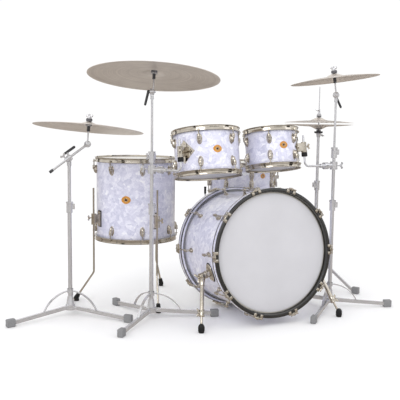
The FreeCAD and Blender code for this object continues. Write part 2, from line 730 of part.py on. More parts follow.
def tilter_tube(bottom, pivot_height, axis, radius, droop):
    """A sliding tube with the tilter's fixed disc and lever at its top."""
    centre = V(0, 0, pivot_height)
    top = pivot_height - tilter_disc_radius - 2
    tube = rod(V(0, 0, bottom), V(0, 0, top), radius)
    neck = rod(V(0, 0, top - 18), V(0, 0, top), radius + 2.5)
    cheek = put(block((-7, 7), (-tilter_disc_width, -GAP), (-22, 4)), frame(centre, UP, axis.cross(UP)))
    disc = tilter_discs(centre, axis, -tilter_disc_width - GAP, -GAP)
    return [fused([tube, neck, disc, cheek, tilter_lever(centre, axis, droop)])]


def cymbal_outline(radius, bow, bell_radius, bell, sign=1):
    """The cymbal's section: a shallow bow with a domed bell, both by formula."""
    def height(r):
        dome = bell * (1 + cos(pi * r / bell_radius)) / 2 if r < bell_radius else 0
        return bow * (1 - (r / radius) ** 2) + dome
    steps = 14
    radii = [cymbal_hole_radius + (radius - cymbal_hole_radius) * (k / steps) ** 1.3 for k in range(steps + 1)]
    top = [(r, sign * height(r)) for r in radii]
    under = [(r, sign * (height(r) - cymbal_thickness)) for r in reversed(radii)]
    return lathe(top + under)


ride = dict(radius=12 * INCH, bow=20, bell_radius=72, bell=18)
crash = dict(radius=8.5 * INCH, bow=17, bell_radius=58, bell=16)
boom_crash = dict(radius=10 * INCH, bow=18, bell_radius=60, bell=15)
hat = dict(radius=7.5 * INCH, bow=12, bell_radius=55, bell=18)


def cymbal_top(cymbal):
    return cymbal["bow"] + cymbal["bell"]


def cymbal_mount(cymbal, below):
    """Washer, felts, sleeve and wing nut round the cymbal's hole, and the rod down to the tilter, about +Z."""
    top = cymbal_top(cymbal)
    felt_top = top - cymbal_thickness - 4
    lower = [rod(V(0, 0, -below), V(0, 0, top + 34), cymbal_rod_radius),
             rod(V(0, 0, felt_top - 12), V(0, 0, felt_top), 14.5),
             rod(V(0, 0, felt_top - 16), V(0, 0, felt_top - 12), 15.5),
             rod(V(0, 0, felt_top - 40), V(0, 0, felt_top - 16), 7)]
    upper = [rod(V(0, 0, top + GAP), V(0, 0, top + 14), 14.5),
             rod(V(0, 0, top + 14), V(0, 0, top + 17), 12)]
    nut = wing(14, 14)
    nut.translate(V(0, 0, top + 17))
    return fused(lower + upper + [nut])


def cymbal_frame(centre, back, right):
    """A cymbal's placement, leaning back from the audience and to the right by the two angles in degrees."""
    normal = UP + away * tan(radians(back)) + side * tan(radians(right))
    return frame(centre, normal, side)


def tilter(pivot, axis, cymbal, placement):
    """The tilter's moving disc, and the rod from it up through the cymbal."""
    local_pivot = placement.inverse().multVec(pivot)
    mount = put(cymbal_mount(cymbal, -local_pivot.z - 14), placement)
    foot = placement.multVec(V(0, 0, local_pivot.z + 14))
    disc = tilter_discs(pivot, axis, GAP, tilter_disc_width + GAP)
    nut = rod(pivot + axis * (tilter_disc_width + GAP), pivot + axis * (tilter_disc_width + 7), 6)
    neck = rod(pivot + axis * 5, foot, 4.3)
    return [fused([disc, nut, neck, mount])]


# Ride stand: the tilter's axis runs from side to side
ride_pivot = ride_stand_place + V(0, 0, 1064)
ride_middle = cymbal_frame(ORIGIN, 9, 2.2)
ride_axis = side
ride_up = ride_middle.Rotation.multVec(UP)
ride_placement = cymbal_frame(ride_pivot + side * 5 + ride_up * 66, 9, 2.2)

# Crash stand: the tilter's axis runs from front to back, with the moving disc in front
crash_pivot = crash_stand_place + V(0, 0, 1069)
crash_axis = away * -1
crash_up = cymbal_frame(ORIGIN, 1.5, -7).Rotation.multVec(UP)
crash_placement = cymbal_frame(crash_pivot + crash_axis * 5 + crash_up * 72, 1.5, -7)

# Boom stand: the boom tilts on a clamp at the top of the tube, with its own tilter at the end
boom_pivot = boom_stand_place + V(0, 0, 753)
boom_slope = radians(37)
boom_run = side * cos(boom_slope) + UP * sin(boom_slope)
boom_offset = 21
boom_line = boom_pivot - away * boom_offset
boom_back, boom_reach = 108, 112
boom_tilter_pivot = boom_line + boom_run * boom_reach
boom_axis = away * -1
boom_up = cymbal_frame(ORIGIN, 5.6, 4).Rotation.multVec(UP)
boom_placement = cymbal_frame(boom_tilter_pivot + boom_axis * 6.5 + boom_up * 72, 5.6, 4)


def boom_arm():
    """The moving disc of the boom clamp, the sleeve on it, the boom and the fixed disc at its end."""
    disc = tilter_discs(boom_pivot, boom_axis, GAP, tilter_disc_width + GAP)
    hub = rod(boom_pivot + boom_axis * tilter_disc_width, boom_line, 8)
    sleeve = rod(boom_line - boom_run * 17, boom_line + boom_run * 17, 9.5)
    boom = rod(boom_line - boom_run * boom_back, boom_line + boom_run * (boom_reach - 10), 5.5)
    end = tilter_discs(boom_tilter_pivot, boom_axis, -tilter_disc_width - GAP, -GAP)
    link = rod(boom_tilter_pivot - boom_run * 20, boom_tilter_pivot - boom_axis * 5, 6)
    screw = put(wing(26, 13), frame(boom_line - boom_run * 8, boom_axis * 0.4 - side + UP, boom_run))
    handle = rod(boom_line + V(0, 0, 24) - side * 14, boom_line + V(0, 0, 52) + side * 26, 5.5)
    handle_post = rod(boom_line + boom_run * 6, boom_line + V(0, 0, 30) - side * 6, 5)
    clear = rod(boom_tilter_pivot - boom_axis * GAP, boom_tilter_pivot + boom_axis * 40, tilter_disc_radius + 1)
    return [fused([disc, hub, sleeve, boom, end, link, screw, handle, handle_post]).cut(clear)]


def write_cymbal_stands():
    down = V(0, 0, -58)
    written("ride_stand_base", tall_stand_base((106, 226, 346), 20, 767), place_upright(ride_stand_place))
    ride_tube = tilter_tube(560, ride_pivot.z, side, top_tube_radius, down - side * 8)
    written("ride_stand_tube", ride_tube, place_upright(ride_stand_place))
    written("ride_tilter", tilter(ride_pivot, ride_axis, ride, ride_placement))
    written("ride_cymbal", [cymbal_outline(**ride)], ride_placement)

    written("crash_stand_base", tall_stand_base((-17, 103, 223), -20, 788), place_upright(crash_stand_place))
    crash_tube = tilter_tube(560, crash_pivot.z, crash_axis, top_tube_radius, down + side * 30)
    written("crash_stand_tube", crash_tube, place_upright(crash_stand_place))
    written("crash_tilter", tilter(crash_pivot, crash_axis, crash, crash_placement))
    written("crash_cymbal", [cymbal_outline(**crash)], crash_placement)

    written("boom_stand_base", short_stand_base((-163, -43, 77), -10), place_upright(boom_stand_place))
    boom_tube = tilter_tube(330, boom_pivot.z, boom_axis, mid_tube_radius, down * 0.6)
    written("boom_stand_tube", boom_tube, place_upright(boom_stand_place))
    written("boom_arm", boom_arm())
    written("boom_tilter", tilter(boom_tilter_pivot, boom_axis, boom_crash, boom_placement))
    written("boom_cymbal", [cymbal_outline(**boom_crash)], boom_placement)


# ---- Hi-hat stand, built about its own tube ----

hat_pedal_heading = 124
hat_leg_angles = (-56, 64, 184)
hat_leg_reach = 262
bottom_hat_rim = 924
top_hat_rim = 935
hat_heel = 300
hat_toe = 42


def hihat_base():
    """Two uprights that straddle the pedal's toe, the tube above them, and three sloping legs."""
    uprights = [block((-9, 9), (y, y + 8), (6, 172)) for y in (-36, 28)]
    bridge = block((-11, 11), (-36, 36), (160, 178))
    sole = block((-20, 20), (-36, 36), (2, 8))
    rails = slab([(18, -34), (hat_heel, -30), (hat_heel, 30), (18, 34)], 2, 6)
    rails = rails.cut(slab([(30, -20), (hat_heel - 20, -20), (hat_heel - 20, 20), (30, 20)], 1, 7))
    heel = block((hat_heel - 10, hat_heel + 46), (-34, 34), (2, 20))
    heel = heel.cut(block((hat_heel - 12, hat_heel + 3), (-35, 35), (6.1, 40)))
    frame_parts = [turned(s, hat_pedal_heading) for s in uprights + [bridge, sole, rails, heel]]
    collar = rod(V(0, 0, 174), V(0, 0, 200), 17)
    tube = rod(V(0, 0, 176), V(0, 0, 586), base_tube_radius)
    legs = []
    tips = []
    for degrees in hat_leg_angles:
        profile = [V(12, 0, 196), V(12, 0, 178), V(hat_leg_reach - 34, 0, 8), V(hat_leg_reach - 34, 0, 26)]
        bar = Part.Face(Part.makePolygon(profile + profile[:1])).extrude(V(0, 12, 0))
        bar.translate(V(0, -6, 0))
        legs.append(turned(bar, degrees))
        tips.append(turned(stand_foot(hat_leg_reach), degrees))
    metal = fused(frame_parts + [collar, tube] + legs + [height_clamp(586, mid_tube_radius, 165)])
    bore = rod(V(0, 0, 240), V(0, 0, 620), mid_tube_radius + GAP)
    throat = rod(V(0, 0, 100), V(0, 0, 260), 5)
    return [metal.cut(bore).cut(throat)] + tips


def hihat_tube():
    """The upper tube, the seat for the lower cymbal and its felt."""
    bell_low = bottom_hat_rim - cymbal_top(hat)
    tube = rod(V(0, 0, 330), V(0, 0, bell_low - 18), mid_tube_radius)
    cup = lathe([(0, bell_low - 40), (10, bell_low - 40), (13, bell_low - 18), (23, bell_low - 12),
                 (23, bell_low - 8), (0, bell_low - 8)])
    felt = rod(V(0, 0, bell_low - 8), V(0, 0, bell_low + 1), 10)
    screw = put(wing(22, 10), frame(V(8, 0, bell_low - 24), V(1, 0, -0.4), V(0, 1, 0)))
    bore = rod(V(0, 0, 300), V(0, 0, bell_low + 10), 3 + GAP)
    felt = felt.cut(rod(V(0, 0, bell_low), V(0, 0, bell_low + 10), 30))
    return [fused([tube, cup, felt, screw]).cut(bore)]


def hihat_rod():
    """The pull rod from the pedal's link up through both cymbals, with the clutch on it."""
    seat = top_hat_rim + cymbal_top(hat)
    pull = rod(V(0, 0, 112), V(0, 0, 1132), 3)
    link = rod(V(0, 0, 104), V(0, 0, 130), 4.4)
    under = rod(V(0, 0, seat - 12), V(0, 0, seat - cymbal_thickness - GAP), 5.6)
    upper = rod(V(0, 0, seat + GAP), V(0, 0, seat + 12), 11)
    body = rod(V(0, 0, seat + 12), V(0, 0, seat + 42), 6.5)
    screw = put(wing(18, 12), frame(V(3, 0, seat + 34), V(-1, 0, 0.3), V(0, 1, 0)))
    return [fused([pull, link, under, upper, body, screw])]


def hihat_pedal():
    """The footboard, hinged at the heel, with its toe under the pull rod."""
    heel = V(hat_heel, 0, 20)
    toe = V(-8, 0, 92)
    lie = frame(heel, V(0, -1, 0).cross(toe - heel), V(0, -1, 0))
    length = (toe - heel).Length
    board = slab([(-30, 4), (30, 4), (26, length - 70), (14, length), (-14, length), (-26, length - 70)], 0, 6)
    knuckle = rod(V(-26, 5, 3), V(26, 5, 3), 4.5)
    return [put(fused([board, knuckle]), lie)]


def write_hihat():
    place = place_upright(hihat_stand_place)
    pedal_place = frame(hihat_stand_place, UP, heading(hat_pedal_heading))
    written("hihat_base", hihat_base(), place)
    written("hihat_tube", hihat_tube(), place)
    written("hihat_pedal", hihat_pedal(), pedal_place)
    written("hihat_rod", hihat_rod(), place)
    top = frame(hihat_stand_place + UP * top_hat_rim, UP, side)
    bottom = frame(hihat_stand_place + UP * bottom_hat_rim, UP, side)
    written("hihat_cymbal_top", [cymbal_outline(**hat)], top)
    written("hihat_cymbal_bottom", [cymbal_outline(**hat, sign=-1)], bottom)


os.makedirs("parts", exist_ok=True)
write_bass_drum()
write_pedal()
write_floor_tom()
write_hanging_toms()
write_snare()
write_cymbal_stands()
write_hihat()
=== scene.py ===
from math import atan2, cos, pi, radians, sin, tan

import bmesh
import bpy
from mathutils import Matrix, Vector


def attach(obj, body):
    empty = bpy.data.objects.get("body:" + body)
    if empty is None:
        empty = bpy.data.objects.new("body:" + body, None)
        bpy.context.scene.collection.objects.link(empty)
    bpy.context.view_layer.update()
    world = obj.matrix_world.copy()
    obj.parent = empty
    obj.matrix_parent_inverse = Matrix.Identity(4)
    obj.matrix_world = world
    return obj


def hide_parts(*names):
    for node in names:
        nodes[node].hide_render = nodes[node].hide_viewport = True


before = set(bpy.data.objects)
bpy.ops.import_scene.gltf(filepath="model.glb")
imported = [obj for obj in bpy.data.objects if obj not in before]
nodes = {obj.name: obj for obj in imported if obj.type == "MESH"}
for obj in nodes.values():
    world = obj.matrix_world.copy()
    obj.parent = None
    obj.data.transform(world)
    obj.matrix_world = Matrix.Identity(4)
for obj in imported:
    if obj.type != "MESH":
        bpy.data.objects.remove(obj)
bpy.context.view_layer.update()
print("frame loaded,", len(nodes), "nodes")

kitShift = Vector((190.43, -203.72, 0))
intoKit = Matrix.Scale(0.001, 4) @ Matrix.Translation(kitShift)
up = Vector((0, 0, 1))
sideHeading = radians(-22.8)
side = Vector((cos(sideHeading), sin(sideHeading), 0))
away = Vector((-side.y, side.x, 0))
# Where each stand and each standing drum is, seen from above
spots = dict(ride=(-496, 70), crash=(412, -65), boom=(-839, 257), snare=(188, 496), hat=(580, 340),
             floorTom=(-439, 478))


def standing(spot, height=0):
    return Vector((*spots[spot], height))


def axes(origin, zAxis, xAxis):  # the place whose own Z and X point along the two axes
    z = Vector(zAxis).normalized()
    x = Vector(xAxis) - z * z.dot(Vector(xAxis))
    x.normalize()
    place = Matrix((x, z.cross(x), z)).transposed().to_4x4()
    place.translation = Vector(origin)
    return place


def heading(degrees):
    return Vector((cos(radians(degrees)), sin(radians(degrees)), 0))


def turn(degrees):
    return Matrix.Rotation(radians(degrees), 4, "Z")


def onDrum(drum, degrees, along, out=0):  # own Z points out of the shell, own Y along the drum
    outward = heading(degrees)
    return axes(outward * (drum["radius"] + out) + up * along, outward, up.cross(outward))


# Materials

def linear(hexColour):
    channels = [int(hexColour[i:i + 2], 16) / 255 for i in (1, 3, 5)]
    return [c / 12.92 if c <= 0.04045 else ((c + 0.055) / 1.055) ** 2.4 for c in channels] + [1]


def addNode(tree, kind, settings={}, inputs={}, stops=()):
    node = tree.nodes.new("ShaderNode" + kind)
    for name, value in settings.items():
        setattr(node, name, value)
    for name, value in inputs.items():
        if isinstance(value, bpy.types.NodeSocket):
            tree.links.new(value, node.inputs[name])
        else:
            node.inputs[name].default_value = value
    for index, (position, colour) in enumerate(stops):  # a ramp starts with two stops, so they come first
        ramp = node.color_ramp.elements
        element = ramp[index] if index < 2 else ramp.new(position)
        element.position, element.color = position, linear(colour)
    return node


def startMaterial(name):
    material = bpy.data.materials.new(name)
    material.use_nodes = True
    tree = material.node_tree
    tree.nodes.clear()
    return material, tree, addNode(tree, "TexCoord").outputs["Object"]


def finishMaterial(material, tree, **surface):
    inputs = {name.replace("_", " "): value for name, value in surface.items()}
    shader = addNode(tree, "BsdfPrincipled", {}, inputs)
    addNode(tree, "OutputMaterial", {}, {"Surface": shader.outputs[0]})
    return material


def speckled(name, hexStops, grain, depth, roughness, surface, detail=4):
    # Two tones mixed by noise, with the same noise as relief; grain is its size in metres, depth the relief's
    material, tree, place = startMaterial(name)
    grainNoise = addNode(tree, "TexNoise", {}, {"Vector": place, "Scale": 1 / grain, "Detail": detail})
    tone = addNode(tree, "ValToRGB", {}, {"Fac": grainNoise.outputs[0]}, hexStops)
    gloss = addNode(tree, "MapRange", {}, {
        "Value": grainNoise.outputs[0], "To Min": roughness[0], "To Max": roughness[1]})
    relief = addNode(tree, "Bump", {}, {
        "Height": grainNoise.outputs[0], "Distance": depth, "Strength": 0.6})
    return finishMaterial(material, tree, Base_Color=tone.outputs[0], Roughness=gloss.outputs[0],
                          Normal=relief.outputs[0], **surface)


def pearlWrap():
    # Marine pearl celluloid: sheets of swirled flakes, each at its own tilt, under a glossy clear coat
    material, tree, place = startMaterial("pearlCelluloid")
    swirl = addNode(tree, "TexNoise", {}, {"Vector": place, "Scale": 16, "Detail": 3})
    bent = addNode(tree, "VectorMath", {"operation": "MULTIPLY_ADD"}, {
        0: swirl.outputs["Color"], 1: (0.05, 0.05, 0.05), 2: place})
    wide = addNode(tree, "TexVoronoi", {}, {"Vector": bent.outputs[0], "Scale": 48})  # flakes of 20 mm
    small = addNode(tree, "TexVoronoi", {}, {"Vector": bent.outputs[0], "Scale": 130})  # flakes of 8 mm
    cloud = addNode(tree, "TexNoise", {}, {"Vector": bent.outputs[0], "Scale": 9, "Detail": 5})
    wideTone = addNode(tree, "SeparateColor", {}, {0: wide.outputs["Color"]})
    smallTone = addNode(tree, "SeparateColor", {}, {0: small.outputs["Color"]})
    flakes = addNode(tree, "Math", {"operation": "MULTIPLY_ADD"}, {
        0: wideTone.outputs[0], 1: 0.42, 2: addNode(tree, "Math", {"operation": "MULTIPLY"}, {
            0: smallTone.outputs[0], 1: 0.24}).outputs[0]})
    depth = addNode(tree, "Math", {"operation": "MULTIPLY_ADD"}, {
        0: cloud.outputs[0], 1: 0.5, 2: flakes.outputs[0]})
    tone = addNode(tree, "ValToRGB", {}, {"Fac": depth.outputs[0]}, [
        (0.30, "#c3c4da"), (0.98, "#fdfdff"), (0.50, "#d2d2e5"), (0.64, "#dbdbec"), (0.80, "#e9e9f6")])
    relief = addNode(tree, "Bump", {}, {"Height": smallTone.outputs[0], "Distance": 0.0001, "Strength": 0.15})
    return finishMaterial(material, tree, Base_Color=tone.outputs[0], Roughness=0.28,
                          Coat_Weight=0.6, Coat_Roughness=0.06, Normal=relief.outputs[0])


def hammeredBronze(name, light, dark, metallic):
    # Cast bronze, hammered in dimples of 14 mm and lathed in rings, drawn 3 mm apart so that they show.
    # The UV map holds the distance from the middle, in decimetres
    material, tree, place = startMaterial(name)
    around = addNode(tree, "SeparateXYZ", {}, {0: addNode(tree, "UVMap", {"uv_map": "polar"}).outputs[0]})
    radius = around.outputs[0]
    rings = addNode(tree, "TexNoise", {"noise_dimensions": "1D"}, {"W": radius, "Scale": 34, "Detail": 2})
    bands = addNode(tree, "TexNoise", {"noise_dimensions": "1D"}, {"W": radius, "Scale": 4.5, "Detail": 3})
    patina = addNode(tree, "TexNoise", {}, {"Vector": place, "Scale": 11, "Detail": 5})
    dimples = addNode(tree, "TexVoronoi", {"feature": "SMOOTH_F1"}, {"Vector": place, "Scale": 70})
    spread = addNode(tree, "Math", {"operation": "MULTIPLY_ADD"}, {
        0: rings.outputs[0], 1: 0.45, 2: addNode(tree, "Math", {"operation": "MULTIPLY_ADD"}, {
            0: bands.outputs[0], 1: 0.45, 2: addNode(tree, "Math", {"operation": "MULTIPLY"}, {
                0: patina.outputs[0], 1: 0.3}).outputs[0]}).outputs[0]})
    tone = addNode(tree, "ValToRGB", {}, {"Fac": spread.outputs[0]}, [(0.42, dark), (0.78, light)])
    gloss = addNode(tree, "MapRange", {}, {"Value": bands.outputs[0], "To Min": 0.24, "To Max": 0.5})
    hammer = addNode(tree, "Bump", {}, {"Height": dimples.outputs[0], "Distance": 0.0005, "Strength": 0.3})
    lathed = addNode(tree, "Bump", {}, {
        "Height": rings.outputs[0], "Distance": 0.0006, "Strength": 0.6, "Normal": hammer.outputs[0]})
    return finishMaterial(material, tree, Base_Color=tone.outputs[0], Metallic=metallic,
                          Roughness=gloss.outputs[0], Normal=lathed.outputs[0])


def stretchedFilm(name, hexStops, roughness):
    # Polyester film with a sprayed coating: a fine tooth, and faint clouds where the spray is thicker
    material, tree, place = startMaterial(name)
    cloud = addNode(tree, "TexNoise", {}, {"Vector": place, "Scale": 7, "Detail": 3})
    tooth = addNode(tree, "TexNoise", {}, {"Vector": place, "Scale": 900, "Detail": 2})
    tone = addNode(tree, "ValToRGB", {}, {"Fac": cloud.outputs[0]}, hexStops)
    relief = addNode(tree, "Bump", {}, {"Height": tooth.outputs[0], "Distance": 0.0001, "Strength": 0.3})
    return finishMaterial(material, tree, Base_Color=tone.outputs[0], Roughness=roughness,
                          Normal=relief.outputs[0])


pearl = pearlWrap()
# Maple plies left bare inside the shells
maple = speckled("mapleVeneer", [(0.3, "#b98a58"), (0.75, "#d8b184")], 0.02, 0.0001, (0.4, 0.55), {})
frontFilm = stretchedFilm("smoothWhiteFilm", [(0.3, "#c4c3c7"), (0.75, "#cac9cd")], 0.38)
batterFilm = stretchedFilm("coatedWhiteFilm", [(0.3, "#e6e4e0"), (0.75, "#f1efeb")], 0.62)
collarFilm = stretchedFilm("creamFilmCollar", [(0.3, "#cdc8bf"), (0.75, "#dcd7ce")], 0.42)
blackPatch = stretchedFilm("blackImpactPatch", [(0.3, "#141416"), (0.75, "#1f1f22")], 0.5)
# Black gloss lacquer on the wood hoops: nearly a mirror
lacquer = speckled("blackLacquer", [(0.3, "#060607"), (0.8, "#0f0f11")], 0.004, 0.00003, (0.16, 0.24),
                   dict(Coat_Weight=1.0, Coat_Roughness=0.04))
# Nickel plate over brass: warm, bright, and faintly clouded by handling
nickel = speckled("nickelPlate", [(0.3, "#b6aea1"), (0.75, "#d2cbc0")], 0.03, 0.00004, (0.07, 0.16),
                  dict(Metallic=1.0))
# Chrome plate over steel tube: cooler and paler, with fine rubbing marks
standChrome = speckled("standChromePlate", [(0.3, "#d3d3d6"), (0.75, "#dcdcdf")], 0.06, 0.00001, (0.2, 0.28),
                       dict(Metallic=0.72), 1)
alloy = speckled("castAluminium", [(0.3, "#a9aaac"), (0.75, "#c6c7c9")], 0.0016, 0.0001, (0.35, 0.5),
                 dict(Metallic=1.0))
# Moulded rubber is matt, and moulded nylon has a dull sheen
blackRubber = speckled("mouldedBlackRubber", [(0.3, "#0d0d0e"), (0.75, "#1b1b1c")], 0.002, 0.0001,
                       (0.6, 0.8), {})
greyRubber = speckled("mouldedGreyRubber", [(0.3, "#7e7e80"), (0.75, "#949495")], 0.002, 0.0001,
                      (0.6, 0.8), {})
blackNylon = speckled("mouldedBlackNylon", [(0.3, "#2c2c2e"), (0.75, "#424245")], 0.003, 0.00005,
                      (0.35, 0.5), {})
# Pressed wool felt: tufts of 2 mm, matt
felt = speckled("greyWoolFelt", [(0.3, "#55555a"), (0.75, "#77777c")], 0.002, 0.0008, (0.9, 1.0), {})
whiteFelt = speckled("whiteWoolFelt", [(0.3, "#d8d4cb"), (0.75, "#ece9e2")], 0.002, 0.0008, (0.9, 1.0), {})
# Lacquered brass badge plate: orange, satin
orangeBrass = speckled("orangeLacqueredBrass", [(0.3, "#bd7d24"), (0.75, "#d89a3c")], 0.006, 0.00005,
                       (0.3, 0.42), dict(Coat_Weight=0.5))
# Painted shade: near black standing in for the dark inside of an air vent's open hole
ventHoleShade = speckled("ventHolePaintedShade", [(0.3, "#050505"), (0.75, "#0c0c0c")], 0.003, 0.00003,
                    (0.5, 0.7), {})
wire = speckled("drawnSteelWire", [(0.3, "#a8a6a2"), (0.75, "#cfcdc8")], 0.003, 0.00003, (0.2, 0.35),
                dict(Metallic=1.0))
rideBronze = hammeredBronze("lathedBronzeWarm", "#e6dfd8", "#bfb6af", 0.8)
crashBronze = hammeredBronze("lathedBronzePale", "#e8e0d8", "#c6bcb2", 0.72)
print("materials made")


# Shapes, in millimetres, that many pieces share

def rounded(points, radius, steps=3):  # a closed outline with its corners turned into short curves
    made = []
    for before, corner, after in zip(points[-1:] + points[:-1], points, points[1:] + points[:1]):
        before, corner, after = Vector(before), Vector(corner), Vector(after)
        reach = min(radius, (before - corner).length * 0.45, (after - corner).length * 0.45)
        start = corner + (before - corner).normalized() * reach
        end = corner + (after - corner).normalized() * reach
        for step in range(steps + 1):
            share = step / steps
            made.append(start.lerp(corner, share).lerp(corner.lerp(end, share), share))
    return made


def lathe(bm, outline, steps=96, closed=True):
    verts = [bm.verts.new((point[0], 0, point[1])) for point in outline]
    edges = [bm.edges.new(pair) for pair in zip(verts, verts[1:])]
    if closed:
        edges.append(bm.edges.new((verts[-1], verts[0])))
    bmesh.ops.spin(bm, geom=verts + edges, cent=(0, 0, 0), axis=(0, 0, 1), angle=2 * pi,
                   steps=steps, use_merge=True)


def ring(bm, inner, outer, low, high, soft, curve=2, steps=40):  # a washer or collar with soft corners
    lathe(bm, rounded([(inner, low), (outer, low), (outer, high), (inner, high)], soft, curve), steps)


def rod(bm, start, end, radius, endRadius=None, segments=20, bevel=0.0):
    start, end = Vector(start), Vector(end)
    line = end - start
    place = Matrix.Translation((start + end) / 2) @ line.to_track_quat("Z", "Y").to_matrix().to_4x4()
    made = bmesh.ops.create_cone(bm, cap_ends=True, segments=segments, radius1=radius,
                                 radius2=radius if endRadius is None else endRadius,
                                 depth=line.length, matrix=place)["verts"]
    if bevel:
        rims = {edge for vert in made for edge in vert.link_edges
                if any(len(face.verts) > 4 for face in edge.link_faces)}
        bmesh.ops.bevel(bm, geom=list(rims), offset=bevel, segments=2, affect="EDGES", profile=0.5,
                        material=-1)


def block(bm, x, y, z, bevel=0.0, segments=2):  # between the two numbers of each pair
    centre = Vector(((x[0] + x[1]) / 2, (y[0] + y[1]) / 2, (z[0] + z[1]) / 2))
    size = Matrix.Diagonal((x[1] - x[0], y[1] - y[0], z[1] - z[0], 1))
    made = bmesh.ops.create_cube(bm, size=1, matrix=Matrix.Translation(centre) @ size)["verts"]
    if bevel:
        bmesh.ops.bevel(bm, geom=list({edge for vert in made for edge in vert.link_edges}), offset=bevel,
                        segments=segments, affect="EDGES", profile=0.5, material=-1)


def ball(bm, centre, x, y, z, segments=20):
    place = Matrix.Translation(Vector(centre)) @ Matrix.Diagonal((x, y, z, 1))
    return bmesh.ops.create_uvsphere(bm, u_segments=segments, v_segments=segments // 2, radius=1,
                                     matrix=place)["verts"]


def asStamp(bm):
    mesh = bpy.data.meshes.new("stamp")
    bm.to_mesh(mesh)
    bm.free()
    return mesh


def stamp(bm, mesh, place):
    copy = mesh.copy()
    copy.transform(place)
    bm.from_mesh(copy)
    bpy.data.meshes.remove(copy)


def settle(bm, part, there):  # a finished part goes into the piece
    mesh = asStamp(part)
    stamp(bm, mesh, there)
    bpy.data.meshes.remove(mesh)


def finishPiece(name, bm, place, body, materials, replaces=(), paint=None, sharp=38, polar=False):
    bmesh.ops.remove_doubles(bm, verts=bm.verts, dist=0.004)
    bmesh.ops.recalc_face_normals(bm, faces=bm.faces)
    for face in bm.faces:
        face.smooth = True
        if paint:
            face.material_index = paint(face.calc_center_median())
    if polar:
        layer = bm.loops.layers.uv.new("polar")
        for face in bm.faces:
            middle = face.calc_center_median()
            middleAngle = atan2(middle.y, middle.x)
            for loop in face.loops:
                point = loop.vert.co
                angle = atan2(point.y, point.x)
                angle += 2 * pi * round((middleAngle - angle) / (2 * pi))
                loop[layer].uv = (Vector((point.x, point.y)).length / 100, angle / (2 * pi))
    bmesh.ops.transform(bm, matrix=intoKit @ place, verts=bm.verts)
    mesh = bpy.data.meshes.new(name)
    bm.to_mesh(mesh)
    bm.free()
    mesh.set_sharp_from_angle(angle=radians(sharp))
    for material in materials:
        mesh.materials.append(material)
    piece = bpy.data.objects.new(name, mesh)
    bpy.context.scene.collection.objects.link(piece)
    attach(piece, body)
    if replaces:
        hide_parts(*replaces)
    return piece


# The five drums, each about its own middle with its axis along Z

tomTilt = radians(10.7)
bassTilt = radians(4.6)
bassHoop = dict(outer=300, width=38, overhang=20)
bassHalf = 203.2 + bassHoop["overhang"]
bassHeight = bassHoop["outer"] * cos(bassTilt) + bassHalf * sin(bassTilt)
leaning = (0, sin(tomTilt), cos(tomTilt))
east = (1, 0, 0)
drums = dict(
    bass=dict(node="bass", body="kit", radius=279.4, half=203.2, wall=8, lugs=10, start=0, lugAt=108,
              place=axes((0, 0, bassHeight), (0, -cos(bassTilt), sin(bassTilt)), east)),
    floorTom=dict(node="floor_tom", body="kit", radius=203.2, half=203.2, wall=7, lugs=8, start=216,
                  lugAt=156, place=axes(standing("floorTom", 533), up, east), badge=(238, 8.6, 47, 39)),
    midTom=dict(node="mid_tom", body="mid_tom", radius=152.4, half=101.6, wall=6, lugs=6, start=235,
                lugAt=56, place=axes((-236, 30, 780), leaning, east), badge=(265, 2.6, 41, 34)),
    highTom=dict(node="high_tom", body="high_tom", radius=127, half=88.9, wall=6, lugs=6, start=237,
                 lugAt=44, place=axes((108, 24, 798), leaning, east), badge=(268, 5.7, 41, 34)),
    snare=dict(node="snare", body="snare", radius=177.8, half=82.55, wall=6, lugs=8, start=260,
               lugAt=27, place=axes(standing("snare", 624), up, east), badge=(282, 21, 32, 28)))
rodOut = 14
rodRadius = 2.7


def around(bm, mesh, drum, bothEnds=True):  # the stamp at each lug of the drum
    for k in range(drum["lugs"]):
        there = turn(drum["start"] + k * 360 / drum["lugs"])
        stamp(bm, mesh, there)
        if bothEnds:
            stamp(bm, mesh, Matrix.Diagonal((1, 1, -1, 1)) @ there)
    bpy.data.meshes.remove(mesh)


def drumShell(name, drum):
    r, h, wall = drum["radius"], drum["half"], drum["wall"]
    outline = [(r - wall, 4.4 - h), (r - wall / 2, 1.8 - h), (r - 1.5, 3 - h), (r, 5 - h)]
    outline += [(r, (2 * k / 8 - 1) * (h - 5)) for k in range(1, 8)]
    outline += [(r, h - 5), (r - 1.5, h - 3), (r - wall / 2, h - 1.8), (r - wall, h - 4.4)]
    bm = bmesh.new()
    lathe(bm, outline, 160)
    finishPiece(name + "Shell", bm, drum["place"], drum["body"], [pearl, maple],
                [drum["node"] + "_shell"],
                lambda c: 0 if Vector((c.x, c.y)).length > r - 0.8 else 1)


def drumHeads(name, drum, films):
    # Film with a soft collar over the shell's edge, held in an aluminium flesh hoop
    r, h = drum["radius"], drum["half"]
    bm = bmesh.new()
    collar = [(0, 0.8), (r * 0.35, 0.8), (r * 0.7, 0.8), (r - 9, 0.7), (r - 5, 0.2), (r - 2, -1.2),
              (r + 1, -3.4), (r + 2.2, -5.4), (r + 5, -6), (r + 6, -7), (r + 6, -13), (r + 5, -14),
              (r + 1.8, -14), (r + 0.8, -13), (r + 0.8, -4.6), (r - 1, -2.2), (r - 4, -0.4), (r - 9, 0),
              (0, 0)]
    for end in (1, -1):
        lathe(bm, [(x, end * (h + z)) for x, z in collar], 128, closed=False)

    def paint(c):
        out = Vector((c.x, c.y)).length
        if out > r + 2.2:
            return 3
        if out > r - 7:
            return 2
        return 0 if c.z > 0 else 1
    finishPiece(name + "Heads", bm, drum["place"], drum["body"], films + [collarFilm, alloy],
                [drum["node"] + "_heads"], paint)


